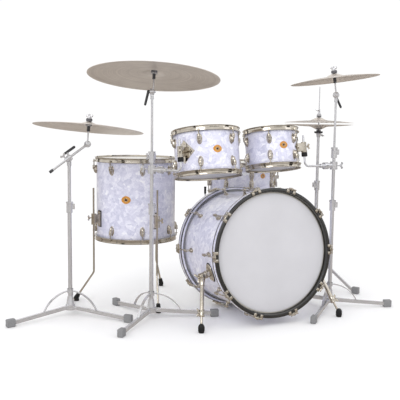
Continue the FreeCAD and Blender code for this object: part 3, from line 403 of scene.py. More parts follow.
def metalHoops(name, drum):
    # Triple-flanged steel hoops, rolled smooth at the top, with a pressed ear for each tension rod
    r, h = drum["radius"], drum["half"]
    bm = bmesh.new()
    outline = rounded([(r + 6.6, -13), (r + 13, -13), (r + 13, -11), (r + 8.8, -11), (r + 8.8, -3.8),
                       (r + 6.5, -3.8), (r + 6.5, 7.5), (r + 10.5, 8.5), (r + 10.5, 10.5),
                       (r + 4.2, 10.5), (r + 4.2, -6), (r + 6.6, -6)], 1.1, 2)
    for end in (1, -1):
        lathe(bm, [(x, end * (h + z)) for x, z in outline], 144)
    ear = bmesh.new()
    ring(ear, rodRadius + 0.5, 8, -13.2, -10.8, 0.7, steps=24)
    bmesh.ops.transform(ear, matrix=Matrix.Translation((r + rodOut, 0, h)), verts=ear.verts)
    lip = bmesh.new()  # the pressed shoulder that stiffens the ear
    block(lip, (r + 7.5, r + 10.8), (-11, 11), (h - 13.2, h - 8.6), 1.4, 3)
    settle(ear, lip, Matrix())
    around(bm, asStamp(ear), drum)
    finishPiece(name + "Hoops", bm, drum["place"], drum["body"], [nickel],
                [drum["node"] + "_hoops"])


def tensionRod(bm, drum):
    r, h = drum["radius"] + rodOut, drum["half"]
    rod(bm, (r, 0, drum["lugAt"]), (r, 0, h - 9.5), rodRadius, segments=12)
    rod(bm, (r, 0, h - 10.8), (r, 0, h - 9.5), 5, segments=18, bevel=0.3)
    rod(bm, (r, 0, h - 9.5), (r, 0, h - 7), 3.9, 3.4, segments=18)
    block(bm, (r - 2.8, r + 2.8), (-2.8, 2.8), (h - 7.4, h - 0.5), 0.6, 1)


def tailLug(bm):
    # A cast lug: a swelling tail on a thin foot, and a ribbed collar that takes the rod. Own Z is outwards
    for vert in ball(bm, (0, -6, 3), 10.5, 21, 13.5, 24):
        share = (vert.co.y + 27) / 42  # 0 at the tail's tip, 1 at the collar
        vert.co.x *= 1.08 - 0.42 * share
        vert.co.z = max(vert.co.z, -3)
    for vert in ball(bm, (0, -5, 0.2), 13, 25, 2.6, 24):
        vert.co.z = max(vert.co.z, -2)
    rod(bm, (0, -6, 14), (0, 14, 14), 6.6, 7.2, 24, 0.8)
    rod(bm, (0, 11, 14), (0, 15, 14), 8.2, segments=24, bevel=1)
    rod(bm, (0, 4, 14), (0, 6.5, 14), 8, segments=24, bevel=0.8)
    block(bm, (-4.5, 4.5), (-4, 11), (-2, 12), 1.5)


def tomLugs(name, drum, paired=True):
    cast = bmesh.new()
    tailLug(cast)
    if not paired:  # the two tails of a snare's lug meet in one slim body
        block(cast, (-5.5, 5.5), (-30, 0), (-2, 11), 3, 3)
    upright = axes((drum["radius"], 0, drum["lugAt"]), (1, 0, 0), (0, 1, 0))
    bmesh.ops.transform(cast, matrix=upright, verts=cast.verts)
    tensionRod(cast, drum)
    bm = bmesh.new()
    around(bm, asStamp(cast), drum)
    finishPiece(name + "Lugs", bm, drum["place"], drum["body"], [nickel],
                [drum["node"] + "_lugs"])


def badge(name, drum):
    # An oval plate bent to the shell, under an air vent's chrome grommet; inside the grommet a near-black
    # disc is painted shade, standing in for the dark open hole
    degrees, along, width, height = drum["badge"]
    bm = bmesh.new()
    ring(bm, 5, 20, -1, 1.2, 0.6, steps=48)
    for vert in bm.verts:
        angle = atan2(vert.co.y, vert.co.x)
        pointed = 1 + 0.10 * abs(cos(angle)) ** 3  # the ends of the oval come to a soft point
        vert.co.x *= width / 40 / 1.10 * pointed
        vert.co.y *= height / 40
        vert.co.z -= vert.co.x ** 2 / 2 / drum["radius"] - 0.4
    place = drum["place"] @ onDrum(drum, degrees, along)
    finishPiece(name + "Badge", bm, place, drum["body"], [orangeBrass])
    bm = bmesh.new()
    lathe(bm, rounded([(6.2, 0), (9, 0), (9, 1.8), (7.6, 2.8), (6.2, 2.4)], 0.7, 3), 40)
    # A disc inside the grommet, its faces painted near black: painted shade for the open hole
    rod(bm, (0, 0, 0.2), (0, 0, 1.4), 6.6, segments=32)
    finishPiece(name + "Vent", bm, place, drum["body"], [nickel, ventHoleShade], (),
                lambda c: 1 if Vector((c.x, c.y)).length < 6.1 else 0)


for drumName, drum in drums.items():
    drumShell(drumName, drum)
    isBass = drumName == "bass"
    drumHeads(drumName, drum, [frontFilm, batterFilm] if isBass else [batterFilm, frontFilm])
    if not isBass:
        metalHoops(drumName, drum)
        tomLugs(drumName, drum, drumName != "snare")
        badge(drumName, drum)
print("shells, heads, metal hoops and lugs made")

# Bass drum: wood hoops with a pearl inlay, claws and their lugs

bass = drums["bass"]
hoopRadius, hoopInner = bassHoop["outer"], bass["radius"] + 3.5
bm = bmesh.new()
hoopBack = bassHalf - bassHoop["width"]  # the face towards the shell; a band on it, 3 to 12 mm in from the outer edge, is painted with the pearl wrap
woodHoop = rounded([(bass["radius"] + 6.2, hoopBack), (hoopRadius - 12, hoopBack),
                    (hoopRadius - 3, hoopBack), (hoopRadius, hoopBack), (hoopRadius, bassHalf),
                    (hoopInner, bassHalf), (hoopInner, 197.2), (bass["radius"] + 6.2, 197.2)], 2.2, 3)
for end in (1, -1):
    lathe(bm, [(x, end * z) for x, z in woodHoop], 192)


def hoopPaint(c):
    return 1 if abs(c.z) < hoopBack + 0.1 and 3 < hoopRadius - Vector((c.x, c.y)).length < 12 else 0


finishPiece("bassHoops", bm, bass["place"], "kit", [lacquer, pearl], ["bass_hoops"],
            hoopPaint)
bm = bmesh.new()
inlay = dict(near=10, far=26.5, proud=0.35)
for end in (1, -1):
    ring(bm, hoopRadius - 1, hoopRadius + inlay["proud"], end * (bassHalf - inlay["far"]),
         end * (bassHalf - inlay["near"]), 0.3, 1, 192)
finishPiece("bassHoopInlay", bm, bass["place"], "kit", [pearl])

clawRod = dict(out=26, radius=3)  # from the shell's surface out to the rod's axis
bm = bmesh.new()
cast = bmesh.new()
for vert in ball(cast, (0, -3, 2), 9, 19, 11, 24):
    vert.co.x *= 1.05 - 0.3 * (vert.co.y + 22) / 38
    vert.co.z = max(vert.co.z, -2)
for vert in ball(cast, (0, -3, 0), 12, 24, 2.4, 24):
    vert.co.z = max(vert.co.z, -2)
rod(cast, (0, 0, 0), (0, 0, clawRod["out"]), 5.5, 6.2, 24)
rod(cast, (0, -10, clawRod["out"]), (0, 12, clawRod["out"]), 6.6, segments=24, bevel=1)
rod(cast, (0, 8, clawRod["out"]), (0, 12.5, clawRod["out"]), 7.6, segments=24, bevel=1)
bmesh.ops.transform(cast, matrix=onDrum(bass, 0, bass["lugAt"]), verts=cast.verts)
around(bm, asStamp(cast), bass)
finishPiece("bassLugs", bm, bass["place"], "kit", [nickel], ["bass_lugs"])

rodZ = bass["radius"] + clawRod["out"] - hoopRadius
bm = bmesh.new()
claw = bmesh.new()
# Own Y runs out past the hoop and own Z away from the axis; two prongs hook over the hoop's edge
block(claw, (-9, 9), (-22, 2.6), (0.4, 2.8), 0.9)
for sign in (-1, 1):
    block(claw, (9, 24), (-20, 3.2), (0.4, 2.8), 1.0)
    block(claw, (10, 24), (0.2, 3.4), (-14, 2.4), 1.2, 3)
    bmesh.ops.scale(claw, vec=(-1, 1, 1), verts=claw.verts)
block(claw, (-24, 24), (-6, 3.2), (1.2, 4.2), 1.3, 3)
rod(claw, (0, -10, rodZ), (0, 3.6, rodZ), 7.4, segments=24, bevel=1)
rod(claw, (0, bass["lugAt"] - bassHalf, rodZ), (0, 10, rodZ), clawRod["radius"], segments=14)
rod(claw, (0, 3.6, rodZ), (0, 13, rodZ), 5.2, 4.4, 20, 0.8)
rod(claw, (-18, 9, rodZ), (18, 9, rodZ), 3.1, segments=16, bevel=1)
for sign in (-1, 1):
    ball(claw, (sign * 17, 9, rodZ), 3.6, 3.9, 3.9, 12)
bmesh.ops.transform(claw, matrix=onDrum(bass, 0, bassHalf, hoopRadius - bass["radius"]), verts=claw.verts)
around(bm, asStamp(claw), bass)
finishPiece("bassClaws", bm, bass["place"], "kit", [nickel], ["bass_claws"])
print("bass drum made")

# Cymbals: a shallow bow with a domed bell, turned in fine steps

cymbals = dict(
    ride=dict(node="ride_cymbal", body="ride_cymbal", radius=304.8, bow=20, bellRadius=72, bell=18,
              tilter="ride_tilter", lean=(9, 2.2), above=66),
    crash=dict(node="crash_cymbal", body="crash_cymbal", radius=215.9, bow=17, bellRadius=58, bell=16,
               tilter="crash_tilter", lean=(1.5, -7), above=72),
    boomCrash=dict(node="boom_cymbal", body="boom_cymbal", radius=254, bow=18, bellRadius=60, bell=15,
                   tilter="boom_tilter", lean=(5.6, 4), above=72),
    topHat=dict(node="hihat_cymbal_top", body="hihat_rod", radius=190.5, bow=12, bellRadius=55, bell=18),
    bottomHat=dict(node="hihat_cymbal_bottom", body="hihat_tube", radius=190.5, bow=12, bellRadius=55,
                   bell=18))


def cymbalPlace(centre, back, right):
    return axes(centre, up + away * tan(radians(back)) + side * tan(radians(right)), side)


def upOf(back, right):
    return cymbalPlace((0, 0, 0), back, right).col[2].to_3d()


ridePivot = standing("ride", 1064)
crashPivot = standing("crash", 1069)
boomPivot = standing("boom", 753)
boomRun = side * cos(radians(37)) + up * sin(radians(37))
boomLine = boomPivot - away * 21
boomTilterPivot = boomLine + boomRun * 112
hatStand = Matrix.Translation(standing("hat"))
hatHeights = dict(topCymbal=935, bottomCymbal=924, clutch=965, seat=894)
# Each tilter's pivot, its axis, and how far along it the cymbal's rod stands
tilters = dict(ride=(ridePivot, side, 5), crash=(crashPivot, -away, 5),
               boomCrash=(boomTilterPivot, -away, 6.5))
for cymbalName, (pivot, axis, along) in tilters.items():
    data = cymbals[cymbalName]
    data["place"] = cymbalPlace(pivot + axis * along + upOf(*data["lean"]) * data["above"], *data["lean"])
cymbals["topHat"]["place"] = axes(standing("hat", hatHeights["topCymbal"]), up, side)
cymbals["bottomHat"]["place"] = axes(standing("hat", hatHeights["bottomCymbal"]), up, side)


def cymbal(name, data, bronze):
    def height(r):
        dome = data["bell"] * (1 + cos(pi * r / data["bellRadius"])) / 2 if r < data["bellRadius"] else 0
        return data["bow"] * (1 - (r / data["radius"]) ** 2) + dome
    steps, hole = 54, 6
    sign = -1 if name == "bottomHat" else 1
    radii = [hole + (data["radius"] - hole) * k / steps for k in range(steps + 1)]
    top = [(r, sign * height(r)) for r in radii]
    edge = [(data["radius"] + 0.3, -0.5 * sign)]
    under = [(r, sign * (height(r) - (1.3 if r < data["radius"] - 20 else 1.0))) for r in reversed(radii)]
    bm = bmesh.new()
    lathe(bm, top + edge + under, 180)
    finishPiece(name + "Cymbal", bm, data["place"], data["body"], [bronze], [data["node"]],
                polar=True)


for cymbalName, data in cymbals.items():
    cymbal(cymbalName, data, rideBronze if cymbalName == "ride" else crashBronze)
print("cymbals made")


def wings(bm, place, reach, tall=7.5):  # two pressed ears on a hub, standing on the place's own Z
    part = bmesh.new()
    rod(part, (0, 0, -8), (0, 0, 0.6), 6.2, 5, 20, 0.8)
    for sign in (-1, 1):
        for vert in ball(part, (sign * reach * 0.62, 0, -1), reach * 0.52, 2.2, tall, 16):
            vert.co.z += abs(vert.co.x) * 0.42 - 2
    settle(bm, part, place)


# Tilters: the moving toothed disc, the cymbal rod, felts, nylon sleeve and wing nut

tilterParts = dict(discRadius=15, discWidth=9, teeth=30, rodRadius=4, feltRadius=15)


def toothedDisc(bm, centre, axis, near, far):
    centre, axis = Vector(centre), Vector(axis)
    rod(bm, centre + axis * near, centre + axis * far, tilterParts["discRadius"] - 0.6, segments=36,
        bevel=0.8)
    across = axis.cross(up).normalized()
    part = bmesh.new()
    block(part, (13.4, 15), (-0.75, 0.75), (min(near, far) + 1, max(near, far) - 1), 0.3, 1)
    tooth = asStamp(part)
    for k in range(tilterParts["teeth"]):
        stamp(bm, tooth, axes(centre, axis, across) @ turn(k * 360 / tilterParts["teeth"]))
    bpy.data.meshes.remove(tooth)


def feltDisc(bm, hole, radius, bulge, low, high, soft, curve, steps):
    lathe(bm, rounded([(hole, low), (radius, low), (bulge, (low + high) / 2), (radius, high), (hole, high)],
                      soft, curve), steps)


def tilterSet(name, data, pivot, axis):
    place = data["place"]
    low = (place.inverted() @ pivot).z + 14
    top = data["bow"] + data["bell"]
    feltTop = top - 5.4
    metal = bmesh.new()
    toothedDisc(metal, pivot, axis, 0.5, 0.5 + tilterParts["discWidth"])
    rod(metal, pivot + axis * 9.5, pivot + axis * 11, 8, segments=24, bevel=0.4)
    rod(metal, pivot + axis * 11, pivot + axis * 16, 6.4, segments=6, bevel=0.5)
    rod(metal, pivot + axis * 5, place @ Vector((0, 0, low)), 4.8, 4.2)
    part = bmesh.new()
    rod(part, (0, 0, low - 2), (0, 0, top + 34), tilterParts["rodRadius"])
    rod(part, (0, 0, top + 33.5), (0, 0, top + 35), 3.4, 2.4)
    ring(part, 4, 15.5, feltTop - 16, feltTop - 12.4, 0.8)
    ring(part, 4, 12.5, top + 13.8, top + 16.4, 0.7, steps=36)
    wings(part, Matrix.Translation((0, 0, top + 25)), 15)
    settle(metal, part, place)
    finishPiece(name + "Tilter", metal, Matrix(), data["tilter"], [standChrome],
                [data["tilter"]])
    felts = bmesh.new()
    for under, over in ((feltTop - 12.2, feltTop + 0.6), (top + 0.6, top + 13.6)):
        feltDisc(felts, 4.2, 14, tilterParts["feltRadius"], under, over, 3, 4, 40)
    finishPiece(name + "Felts", felts, place, data["tilter"], [felt])
    sleeve = bmesh.new()
    lathe(sleeve, rounded([(4.1, feltTop - 41), (7.4, feltTop - 41), (7.4, feltTop - 18.4),
                           (10.5, feltTop - 16.2), (4.1, feltTop - 16.2)], 0.8, 2), 28)
    finishPiece(name + "Sleeve", sleeve, place, data["tilter"], [blackNylon])


for cymbalName, (pivot, axis, along) in tilters.items():
    tilterSet(cymbalName, cymbals[cymbalName], pivot, axis)

# Black levers that lock the tilters, and the boom arm's grip


def tilterLever(name, body, pivot, axis, droop):
    start = pivot - axis * 9.5
    bm = bmesh.new()
    rod(bm, start - axis * 1.2, start - axis * 12.6, 7.8, 7.4, 24, 1.2)
    first, last = start - axis * 8, start - axis * 14 + droop
    rod(bm, first, last, 6.2, 5.6, 20)
    ball(bm, first, 6.4, 6.4, 6.4, 16)
    ball(bm, last, 5.6, 5.6, 5.6, 16)
    finishPiece(name + "Lever", bm, Matrix(), body, [blackNylon])


down = up * -58
tilterLever("ride", "ride_tube", ridePivot, side, down - side * 8)
tilterLever("crash", "crash_tube", crashPivot, -away, down + side * 30)
tilterLever("boom", "boom_tube", boomPivot, -away, down * 0.6)
bm = bmesh.new()
gripStart, gripEnd = boomLine + up * 23 - side * 15, boomLine + up * 53 + side * 27
rod(bm, gripStart, gripEnd, 6, 6.4, 20)
ball(bm, gripStart, 6, 6, 6, 16)
ball(bm, gripEnd, 6.4, 6.4, 6.4, 16)
rod(bm, boomLine - boomRun * 109, boomLine - boomRun * 88, 7.2, 6.8, 20, 1.5)
finishPiece("boomGrips", bm, Matrix(), "boom_arm", [blackNylon])

# Rubber tips of the flat-based stands, with moulded ribs

stands = dict(
    ride=dict(legs=(106, 226, 346), reach=320), crash=dict(legs=(-17, 103, 223), reach=320),
    boom=dict(legs=(-163, -43, 77), reach=320), snare=dict(legs=(-5, 115, 235), reach=180),
    hat=dict(legs=(-56, 64, 184), reach=262))
braceOn = dict(longLegs=120, shortLegs=90)  # how far out the braces' lower bolts sit
hubRings = ((54, 57, 19.4), (62, 64.5, 18.2), (70, 72.5, 17.1), (78, 80.5, 16.0), (86, 88.5, 14.9),
            (112, 115, 15), (129, 132, 15))  # from, to and radius of each turned ring
for standName, stand in stands.items():
    tips = bmesh.new()
    part = bmesh.new()
    reach = stand["reach"]
    block(part, (reach - 34.4, reach + 4.2), (-12.3, 12.3), (0, 36.4), 3.6, 3)
    for k in range(5):
        block(part, (reach - 28, reach + 4.9), (-13, 13), (5 + 6 * k, 8 + 6 * k), 1.1, 2)
    tip = asStamp(part)
    for degrees in stand["legs"]:
        stamp(tips, tip, turn(degrees))
    bpy.data.meshes.remove(tip)
    for vert in tips.verts:
        vert.co.z = max(vert.co.z, 0)
    finishPiece(standName + "StandTips", tips, Matrix.Translation(standing(standName)), "kit",
                [greyRubber])
    if standName != "hat":  # the conical hub's turned ribs, bolts through the legs, and braces' collar rings
        hub = bmesh.new()
        for low, high, r in hubRings:
            ring(hub, 9, r, low, high, 1)
        for degrees in stand["legs"]:
            for x, z in ((30, 42), (braceOn["longLegs" if reach > 200 else "shortLegs"], 33)):
                for sign in (-1, 1):
                    bolt = bmesh.new()
                    rod(bolt, (x, sign * 6, z), (x, sign * 9, z), 4.6, 3.6, 12, 0.6)
                    settle(hub, bolt, turn(degrees))
        finishPiece(standName + "StandHub", hub, Matrix.Translation(standing(standName)), "kit",
                    [standChrome])

# Rubber feet, gaskets and bushings of the drums' own legs

floorTom = drums["floorTom"]
# Each leg's bracket heading, and its foot's distance and heading from the drum's middle
legs = dict(left=(188, 310.4, 171.5), front=(278.2, 324, 271.8), back=(43.5, 300, 43.5))
legBend = dict(height=163, out=237.2)
gaskets = bmesh.new()
for legName, (degrees, reach, footHeading) in legs.items():
    part = bmesh.new()
    block(part, (-18.5, 18.5), (-42, 42), (-1.5, 2), 1.6, 3)
    settle(gaskets, part, onDrum(floorTom, degrees, -98))
    foot = standing("floorTom") + heading(footHeading) * reach
    line = standing("floorTom", legBend["height"]) + heading(degrees) * legBend["out"]
    run = (foot - line).normalized()
    tip = foot + up * 18
    bm = bmesh.new()
    rod(bm, tip - run * 27, tip + run * 9, 9.4, 12.6, 28, 1.2)
    for k in range(4):
        centre = tip - run * (21 - 7.5 * k)
        rod(bm, centre - run * 1.2, centre + run * 1.2, 10.8 + 0.85 * k, segments=28, bevel=0.8)
    sole = bmesh.new()
    lathe(sole, [(0, 0), (12.2, 0), (13, 0.8), (13.2, 2.5), (12.2, 11), (11, 12.6), (0, 12.6)], 28,
          closed=False)
    settle(bm, sole, Matrix.Translation(foot))
    for vert in bm.verts:
        vert.co.z = max(vert.co.z, 0)
    finishPiece("floorTomFoot" + legName.capitalize(), bm, Matrix(), "leg_" + legName,
                [blackRubber])
finishPiece("floorTomGaskets", gaskets, floorTom["place"], "kit", [blackRubber])
print("fittings made")

# Bass drum spurs: an oval bracket on a gasket, a pivoting knuckle, a tube with its clamp, and a rubber foot

spurAt = dict(degrees=198, along=88, knuckleOut=42, foot=(-363, -222), tube=9.5, rod=5.5)
outward = heading(spurAt["degrees"])
knee = bass["place"] @ (outward * (bass["radius"] + spurAt["knuckleOut"]) + up * spurAt["along"])
outward = bass["place"].to_3x3() @ outward
spurFoot = Vector((*spurAt["foot"], 0))
ankle = spurFoot + up * 20
run = (ankle - knee).normalized()
spurLength = (ankle - knee).length


def bent(vert, radius):  # lowers a flat plate's sides to lie on the shell
    vert.co.z -= vert.co.x ** 2 / 2 / radius


gasket = bmesh.new()
for vert in ball(gasket, (0, 0, 0), 48, 36, 4.2, 40):
    bent(vert, bass["radius"])
bracket = bmesh.new()
for vert in ball(bracket, (0, 0, 2.5), 43, 31, 7.5, 40):
    bent(vert, bass["radius"])
rod(bracket, (0, 0, -2), (0, 0, 22), 16.4, segments=40)
rod(bracket, (0, 0, 21), (0, 0, 25.8), 18.5, segments=40, bevel=1)
tooth = bmesh.new()
block(tooth, (15.6, 17.4), (-1, 1), (4, 21), 0.4, 1)
tooth = asStamp(tooth)
for k in range(24):
    stamp(bracket, tooth, turn(15 * k))
for sign in (-1, 1):
    rod(bracket, (sign * 31, 0, 3), (sign * 31, 0, 8), 4.6, 4.2, 6, 0.5)
spurMetal = bmesh.new()
rod(spurMetal, knee - outward * 15.6, knee + outward * 15, 16.6, segments=40, bevel=2)
for along in (-14.5, -8.5, 11):
    rod(spurMetal, knee + outward * along, knee + outward * (along + 3), 17.4, segments=40, bevel=0.8)
rod(spurMetal, knee + run * 12, knee + run * (spurLength * 0.2), 12.6, 11.8, 28, 1.2)
rod(spurMetal, knee + outward * 14, knee + outward * 20, 6)
wings(spurMetal, axes(knee + outward * 24, outward, run), 21, 6.5)
rod(spurMetal, knee, knee + run * (spurLength * 0.69), spurAt["tube"], segments=28)
rod(spurMetal, knee + run * (spurLength * 0.66), knee + run * (spurLength * 0.78), 11.8, segments=28, bevel=1)
for share in (0.655, 0.76):
    rod(spurMetal, knee + run * (spurLength * share), knee + run * (spurLength * share + 5), 12.9,
        segments=28, bevel=1)
sideways = run.cross(Vector((0, 1, 0))) * -1
wings(spurMetal, axes(knee + run * (spurLength * 0.72) + sideways * 21, sideways, run), 17, 6)
rod(spurMetal, knee + run * (spurLength * 0.7), ankle + run * 2, spurAt["rod"])
spurRubber = bmesh.new()
footOutline = [(0, 0), (12.2, 0), (13, 1), (13.2, 9), (14.6, 17), (15, 24), (13.4, 31), (10, 36),
               (7, 39.5), (0, 39.5)]
lathe(spurRubber, footOutline, 36, closed=False)
for height in (8, 15):
    ring(spurRubber, 12, 15.2, height, height + 2.6, 0.8, steps=36)
gasket, bracket, spurMetal, spurRubber = (asStamp(part) for part in (gasket, bracket, spurMetal, spurRubber))
onShell = bass["place"] @ onDrum(bass, spurAt["degrees"], spurAt["along"])
brackets, gaskets = bmesh.new(), bmesh.new()
for bodyName, mirror in (("spur_left", Matrix()), ("spur_right", Matrix.Diagonal((-1, 1, 1, 1)))):
    stamp(brackets, bracket, mirror @ onShell)
    stamp(gaskets, gasket, mirror @ onShell)
    metal, rubber = bmesh.new(), bmesh.new()
    stamp(metal, spurMetal, mirror)
    stamp(rubber, spurRubber, mirror @ Matrix.Translation(spurFoot))
    pieceName = "spurLeft" if bodyName == "spur_left" else "spurRight"
    finishPiece(pieceName, metal, Matrix(), bodyName, [nickel], [bodyName])
    finishPiece(pieceName + "Foot", rubber, Matrix(), bodyName, [blackRubber])
finishPiece("spurBrackets", brackets, Matrix(), "kit", [nickel], ["spur_brackets"])
finishPiece("spurGaskets", gaskets, Matrix(), "kit", [blackRubber])
for mesh in (gasket, bracket, spurMetal, spurRubber, tooth):
    bpy.data.meshes.remove(mesh)
print("spurs made")

# Bass drum pedal: beater with its felt, the footboard's raised ribs, and the dark patch the beater strikes

beater = dict(axle=(0, 228, 130), lean=42, shaft=185, felt=170, feltRadius=20)
axle, leanBack = Vector(beater["axle"]), radians(beater["lean"])
lean = Vector((0, sin(leanBack), cos(leanBack)))
striking = Vector((0, -cos(leanBack), sin(leanBack)))
hammer = axle + lean * beater["felt"]
bm = bmesh.new()
rod(bm, axle - Vector((50, 0, 0)), axle + Vector((50, 0, 0)), 4)
for x, width, r in ((0, 5.6, 25), (-5, 1, 27), (5, 1, 27), (-30, 4, 9), (30, 4, 9)):
    rod(bm, axle + Vector((x - width, 0, 0)), axle + Vector((x + width, 0, 0)), r, segments=36, bevel=0.6)
rod(bm, axle - lean * 20, axle + lean * beater["shaft"], 3.2)
rod(bm, axle + lean * 20, axle + lean * 34, 7, segments=20, bevel=1)
finishPiece("beaterShaft", bm, Matrix(), "pedal_beater", [standChrome], ["pedal_beater"])
bm = bmesh.new()
rod(bm, hammer + striking * 20, hammer - striking * 20, beater["feltRadius"], segments=40, bevel=3.4)
finishPiece("beaterFelt", bm, Matrix(), "pedal_beater", [whiteFelt])


def boardRibs(name, body, place, length, near, far):  # low ribs across the board, and a plate at the toe
    part = bmesh.new()
    count = int((length - 90) / 14)
    for k in range(count):
        share = k / count
        half = near * (1 - share) + far * share - 6
        block(part, (-half, half), (34 + 14 * k, 40 + 14 * k), (-1.6, 1), 0.7, 2)
    block(part, (-far * 0.6, far * 0.6), (length - 46, length - 10), (-1.8, 1), 1.1, 2)
    finishPiece(name, part, place, body, [blackRubber])


pedalHeel, pedalToe = Vector((0, 505, 26)), Vector((0, 250, 84))
pedalRun = pedalToe - pedalHeel
boardRibs("bassPedalRibs", "pedal_footboard", axes(pedalHeel, Vector(east).cross(pedalRun), east),
          pedalRun.length, 38, 30)
pedalHeading = hatStand @ turn(124)
hatPedalRun = Vector((-308, 0, 72))
acrossHat = Vector((0, -1, 0))
boardRibs("hihatPedalRibs", "hihat_pedal",
          pedalHeading @ axes((300, 0, 20), acrossHat.cross(hatPedalRun), acrossHat), hatPedalRun.length,
          30, 20)
bm = bmesh.new()
lathe(bm, [(0, -bass["half"] - 1.5), (44, -bass["half"] - 1.5), (45, -bass["half"] - 1.3),
           (45, -bass["half"] - 0.6), (0, -bass["half"] - 0.6)], 64, closed=False)
finishPiece("beaterPatch", bm, bass["place"], "kit", [blackPatch])

# Hi-hat: nylon seat cup, felts and a knurled clutch nut

clutch, seat = hatHeights["clutch"], hatHeights["seat"]
bm = bmesh.new()
lathe(bm, rounded([(12.4, seat - 19.6), (20, seat - 18.6), (23.8, seat - 15), (23.8, seat - 7.6),
                   (12.2, seat - 7.2)], 1, 2), 48)
finishPiece("hatSeatCup", bm, hatStand, "hihat_tube", [blackNylon])
bm = bmesh.new()
lathe(bm, rounded([(4, seat - 7.6), (12, seat - 7.6), (12.6, seat - 3), (11.6, seat - 0.3),
                   (4, seat - 0.3)], 1.6, 3), 36)
finishPiece("hatSeatFelt", bm, hatStand, "hihat_tube", [felt])
bm = bmesh.new()
feltDisc(bm, 4, 12.8, 13.4, clutch + 0.6, clutch + 7.4, 2, 3, 36)
finishPiece("clutchFelt", bm, hatStand, "hihat_rod", [felt])
bm = bmesh.new()
lathe(bm, rounded([(4, clutch + 7.8), (14, clutch + 7.8), (14, clutch + 10), (11.4, clutch + 11),
                   (11.4, clutch + 18), (7.2, clutch + 20), (7.2, clutch + 42.4), (4, clutch + 42.4)],
                  0.8, 2), 40)
part = bmesh.new()
block(part, (11, 12.1), (-0.6, 0.6), (clutch + 11.4, clutch + 17.6), 0.3, 1)
ridge = asStamp(part)
for k in range(30):
    stamp(bm, ridge, turn(12 * k))
bpy.data.meshes.remove(ridge)
finishPiece("clutchNut", bm, hatStand, "hihat_rod", [standChrome])

# Snare drum: coiled wires on their end plates under the lower head, and the stand's rubber grips

snare = drums["snare"]
wires = dict(count=20, spacing=3.7, beads=34, half=148)
wireLow = -snare["half"] - 2.4
bm = bmesh.new()
for k in range(wires["count"]):
    y = (k - (wires["count"] - 1) / 2) * wires["spacing"]
    pitch = 2 * wires["half"] / wires["beads"]
    for bead in range(wires["beads"]):  # each bead is a few turns of the coil
        start = bead * pitch - wires["half"]
        rod(bm, (start, y, wireLow), (start + 0.72 * pitch, y, wireLow), 1.15, segments=8)
    rod(bm, (-150, y, wireLow), (150, y, wireLow), 0.8, segments=6)
for sign in (-1, 1):
    block(bm, (sign * 155 - 8, sign * 155 + 8), (-39, 39), (wireLow - 0.8, wireLow + 0.8), 0.5, 2)
    block(bm, (min(sign * 150, sign * 181), max(sign * 150, sign * 181)), (-10, 10),
          (wireLow - 1.5, wireLow - 0.9), 0.2, 1)
finishPiece("snareWires", bm, snare["place"] @ turn(327.5), "snare", [wire])
bm = bmesh.new()
gripCorner = snare["place"].translation.z - snare["half"] - 27  # under the drum's lower hoop
gripRings = ((17.5, 54, 5.8), (20, 23, 6.5), (27, 30, 6.5), (34, 37, 6.5), (41, 44, 6.5), (48, 56.4, 6.6))
for degrees in (157, 277, 37):
    out = heading(degrees) * (snare["radius"] + 27.5)
    for low, high, r in gripRings:
        rod(bm, out + up * (gripCorner + low), out + up * (gripCorner + high), r, segments=24, bevel=0.7)
finishPiece("basketGrips", bm, Matrix.Translation(standing("snare")), "snare", [blackRubber])

# Tom mounts: a black rubber collar under each clamp

mounts = dict(angles=dict(midTom=205, highTom=327), out=30, hole=5.8)
for drumName, bracketAngle in mounts["angles"].items():
    drum = drums[drumName]
    bm = bmesh.new()
    lathe(bm, rounded([(mounts["hole"], -46), (13, -46), (14.2, -43), (14.2, -29), (13, -26.6),
                       (mounts["hole"], -26.6)], 1.2, 3), 36)
    mount = drum["place"] @ turn(bracketAngle) @ Matrix.Translation((drum["radius"] + mounts["out"], 0, 0))
    finishPiece(drumName + "MountCollar", bm, mount, drum["body"], [blackRubber])
print("small parts made")

# Carried-over pieces take their finish here
finishes = dict(
    nickel=["floor_tom_leg_brackets", "floor_tom_leg_left", "floor_tom_leg_front", "floor_tom_leg_back",
            "mid_tom_bracket", "high_tom_bracket", "snare_strainer", "snare_lever"],
    alloy=["pedal_footboard", "hihat_pedal", "pedal_frame"])
for nodeName, node in nodes.items():
    node.data.materials.clear()
    if nodeName in finishes["nickel"]:
        node.data.materials.append(nickel)
    elif nodeName in finishes["alloy"]:
        node.data.materials.append(alloy)
    else:
        node.data.materials.append(standChrome)
print("carried-over pieces finished")

# Studio: a pale floor, soft light from the left, and dark cards that only the bright metal sees

studio = dict(floorHalf=30, floorColour="#fefeff", floorReflected="#b3aba2", key=70, fill=12, sky=1.03)


def stagePlane(name, centre, target, width, height, hexColour):
    bm = bmesh.new()
    facing = (Vector(target) - Vector(centre)).to_track_quat("Z", "Y").to_matrix().to_4x4()
    bmesh.ops.create_grid(bm, x_segments=1, y_segments=1, size=0.5,
                          matrix=Matrix.Translation(centre) @ facing @ Matrix.Diagonal((width, height, 1, 1)))
    mesh = bpy.data.meshes.new(name)
    bm.to_mesh(mesh)
    bm.free()
    material, tree, place = startMaterial(name + "Paint")
    mesh.materials.append(finishMaterial(material, tree, Base_Color=linear(hexColour), Roughness=0.9))
    plane = bpy.data.objects.new(name, mesh)
    bpy.context.scene.collection.objects.link(plane)
    return plane


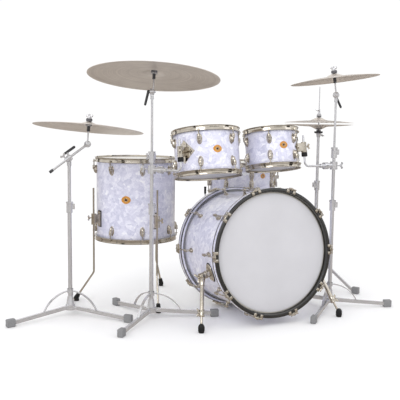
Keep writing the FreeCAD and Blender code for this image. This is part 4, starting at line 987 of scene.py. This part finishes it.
wide = 2 * studio["floorHalf"]
floor = stagePlane("floor", (0, 0, -0.0006), (0, 0, 1), wide, wide, studio["floorColour"])
floor.visible_glossy = False
darkFloor = stagePlane("floorSeenInMetal", (0, 0, -0.004), (0, 0, 1), wide, wide, studio["floorReflected"])
darkFloor.visible_camera = darkFloor.visible_diffuse = darkFloor.visible_shadow = False
cards = [((-3.6, -2.2, 1.1), (0.7, 2.6)), ((3.4, -2.6, 1.0), (1.3, 2.8)), ((0.6, -5.2, 2.9), (3.2, 0.7)),
         ((2.8, 3.4, 1.2), (1.0, 2.6)), ((-2.6, 3.6, 1.4), (0.8, 2.4))]  # middle, then width and height
for index, (centre, size) in enumerate(cards):
    card = stagePlane(f"card{index}", centre, (0, 0, 0.6), *size, "#15110d")
    card.visible_camera = card.visible_diffuse = card.visible_shadow = card.visible_transmission = False


def areaLight(name, place, target, size, power, hexColour):
    light = bpy.data.lights.new(name, "AREA")
    light.shape, light.size, light.energy = "DISK", size, power
    light.color = linear(hexColour)[:3]
    lamp = bpy.data.objects.new(name, light)
    lamp.location = place
    lamp.rotation_euler = (Vector(target) - Vector(place)).to_track_quat("-Z", "Y").to_euler()
    bpy.context.scene.collection.objects.link(lamp)


areaLight("key", (-3.2, -3.4, 3.6), (0, 0, 0.5), 2.6, studio["key"], "#ffffff")
areaLight("fill", (3.6, -2.6, 2.4), (0, 0, 0.5), 2.4, studio["fill"], "#f6f8ff")
world = bpy.data.worlds.new("studioSky")
world.use_nodes = True
world.node_tree.nodes["Background"].inputs[0].default_value = (1, 1, 1, 1)
world.node_tree.nodes["Background"].inputs[1].default_value = studio["sky"]
bpy.context.scene.world = world
bpy.context.scene.view_settings.view_transform = "Standard"

camera = dict(place=(-1.3755, -3.1727, 0.923), yaw=23.4, pitch=-6.3, roll=0.7, lens=62.55)
yaw, pitch = radians(camera["yaw"]), radians(camera["pitch"])
forward = Vector((sin(yaw) * cos(pitch), cos(yaw) * cos(pitch), sin(pitch)))
lens = bpy.data.cameras.new("camera")
lens.lens, lens.sensor_width = camera["lens"], 36
viewer = bpy.data.objects.new("camera", lens)
viewer.matrix_world = (Matrix.Translation(camera["place"])
                       @ forward.to_track_quat("-Z", "Y").to_matrix().to_4x4()
                       @ Matrix.Rotation(radians(camera["roll"]), 4, "Z"))
bpy.context.scene.collection.objects.link(viewer)
bpy.context.scene.camera = viewer
print("studio ready")
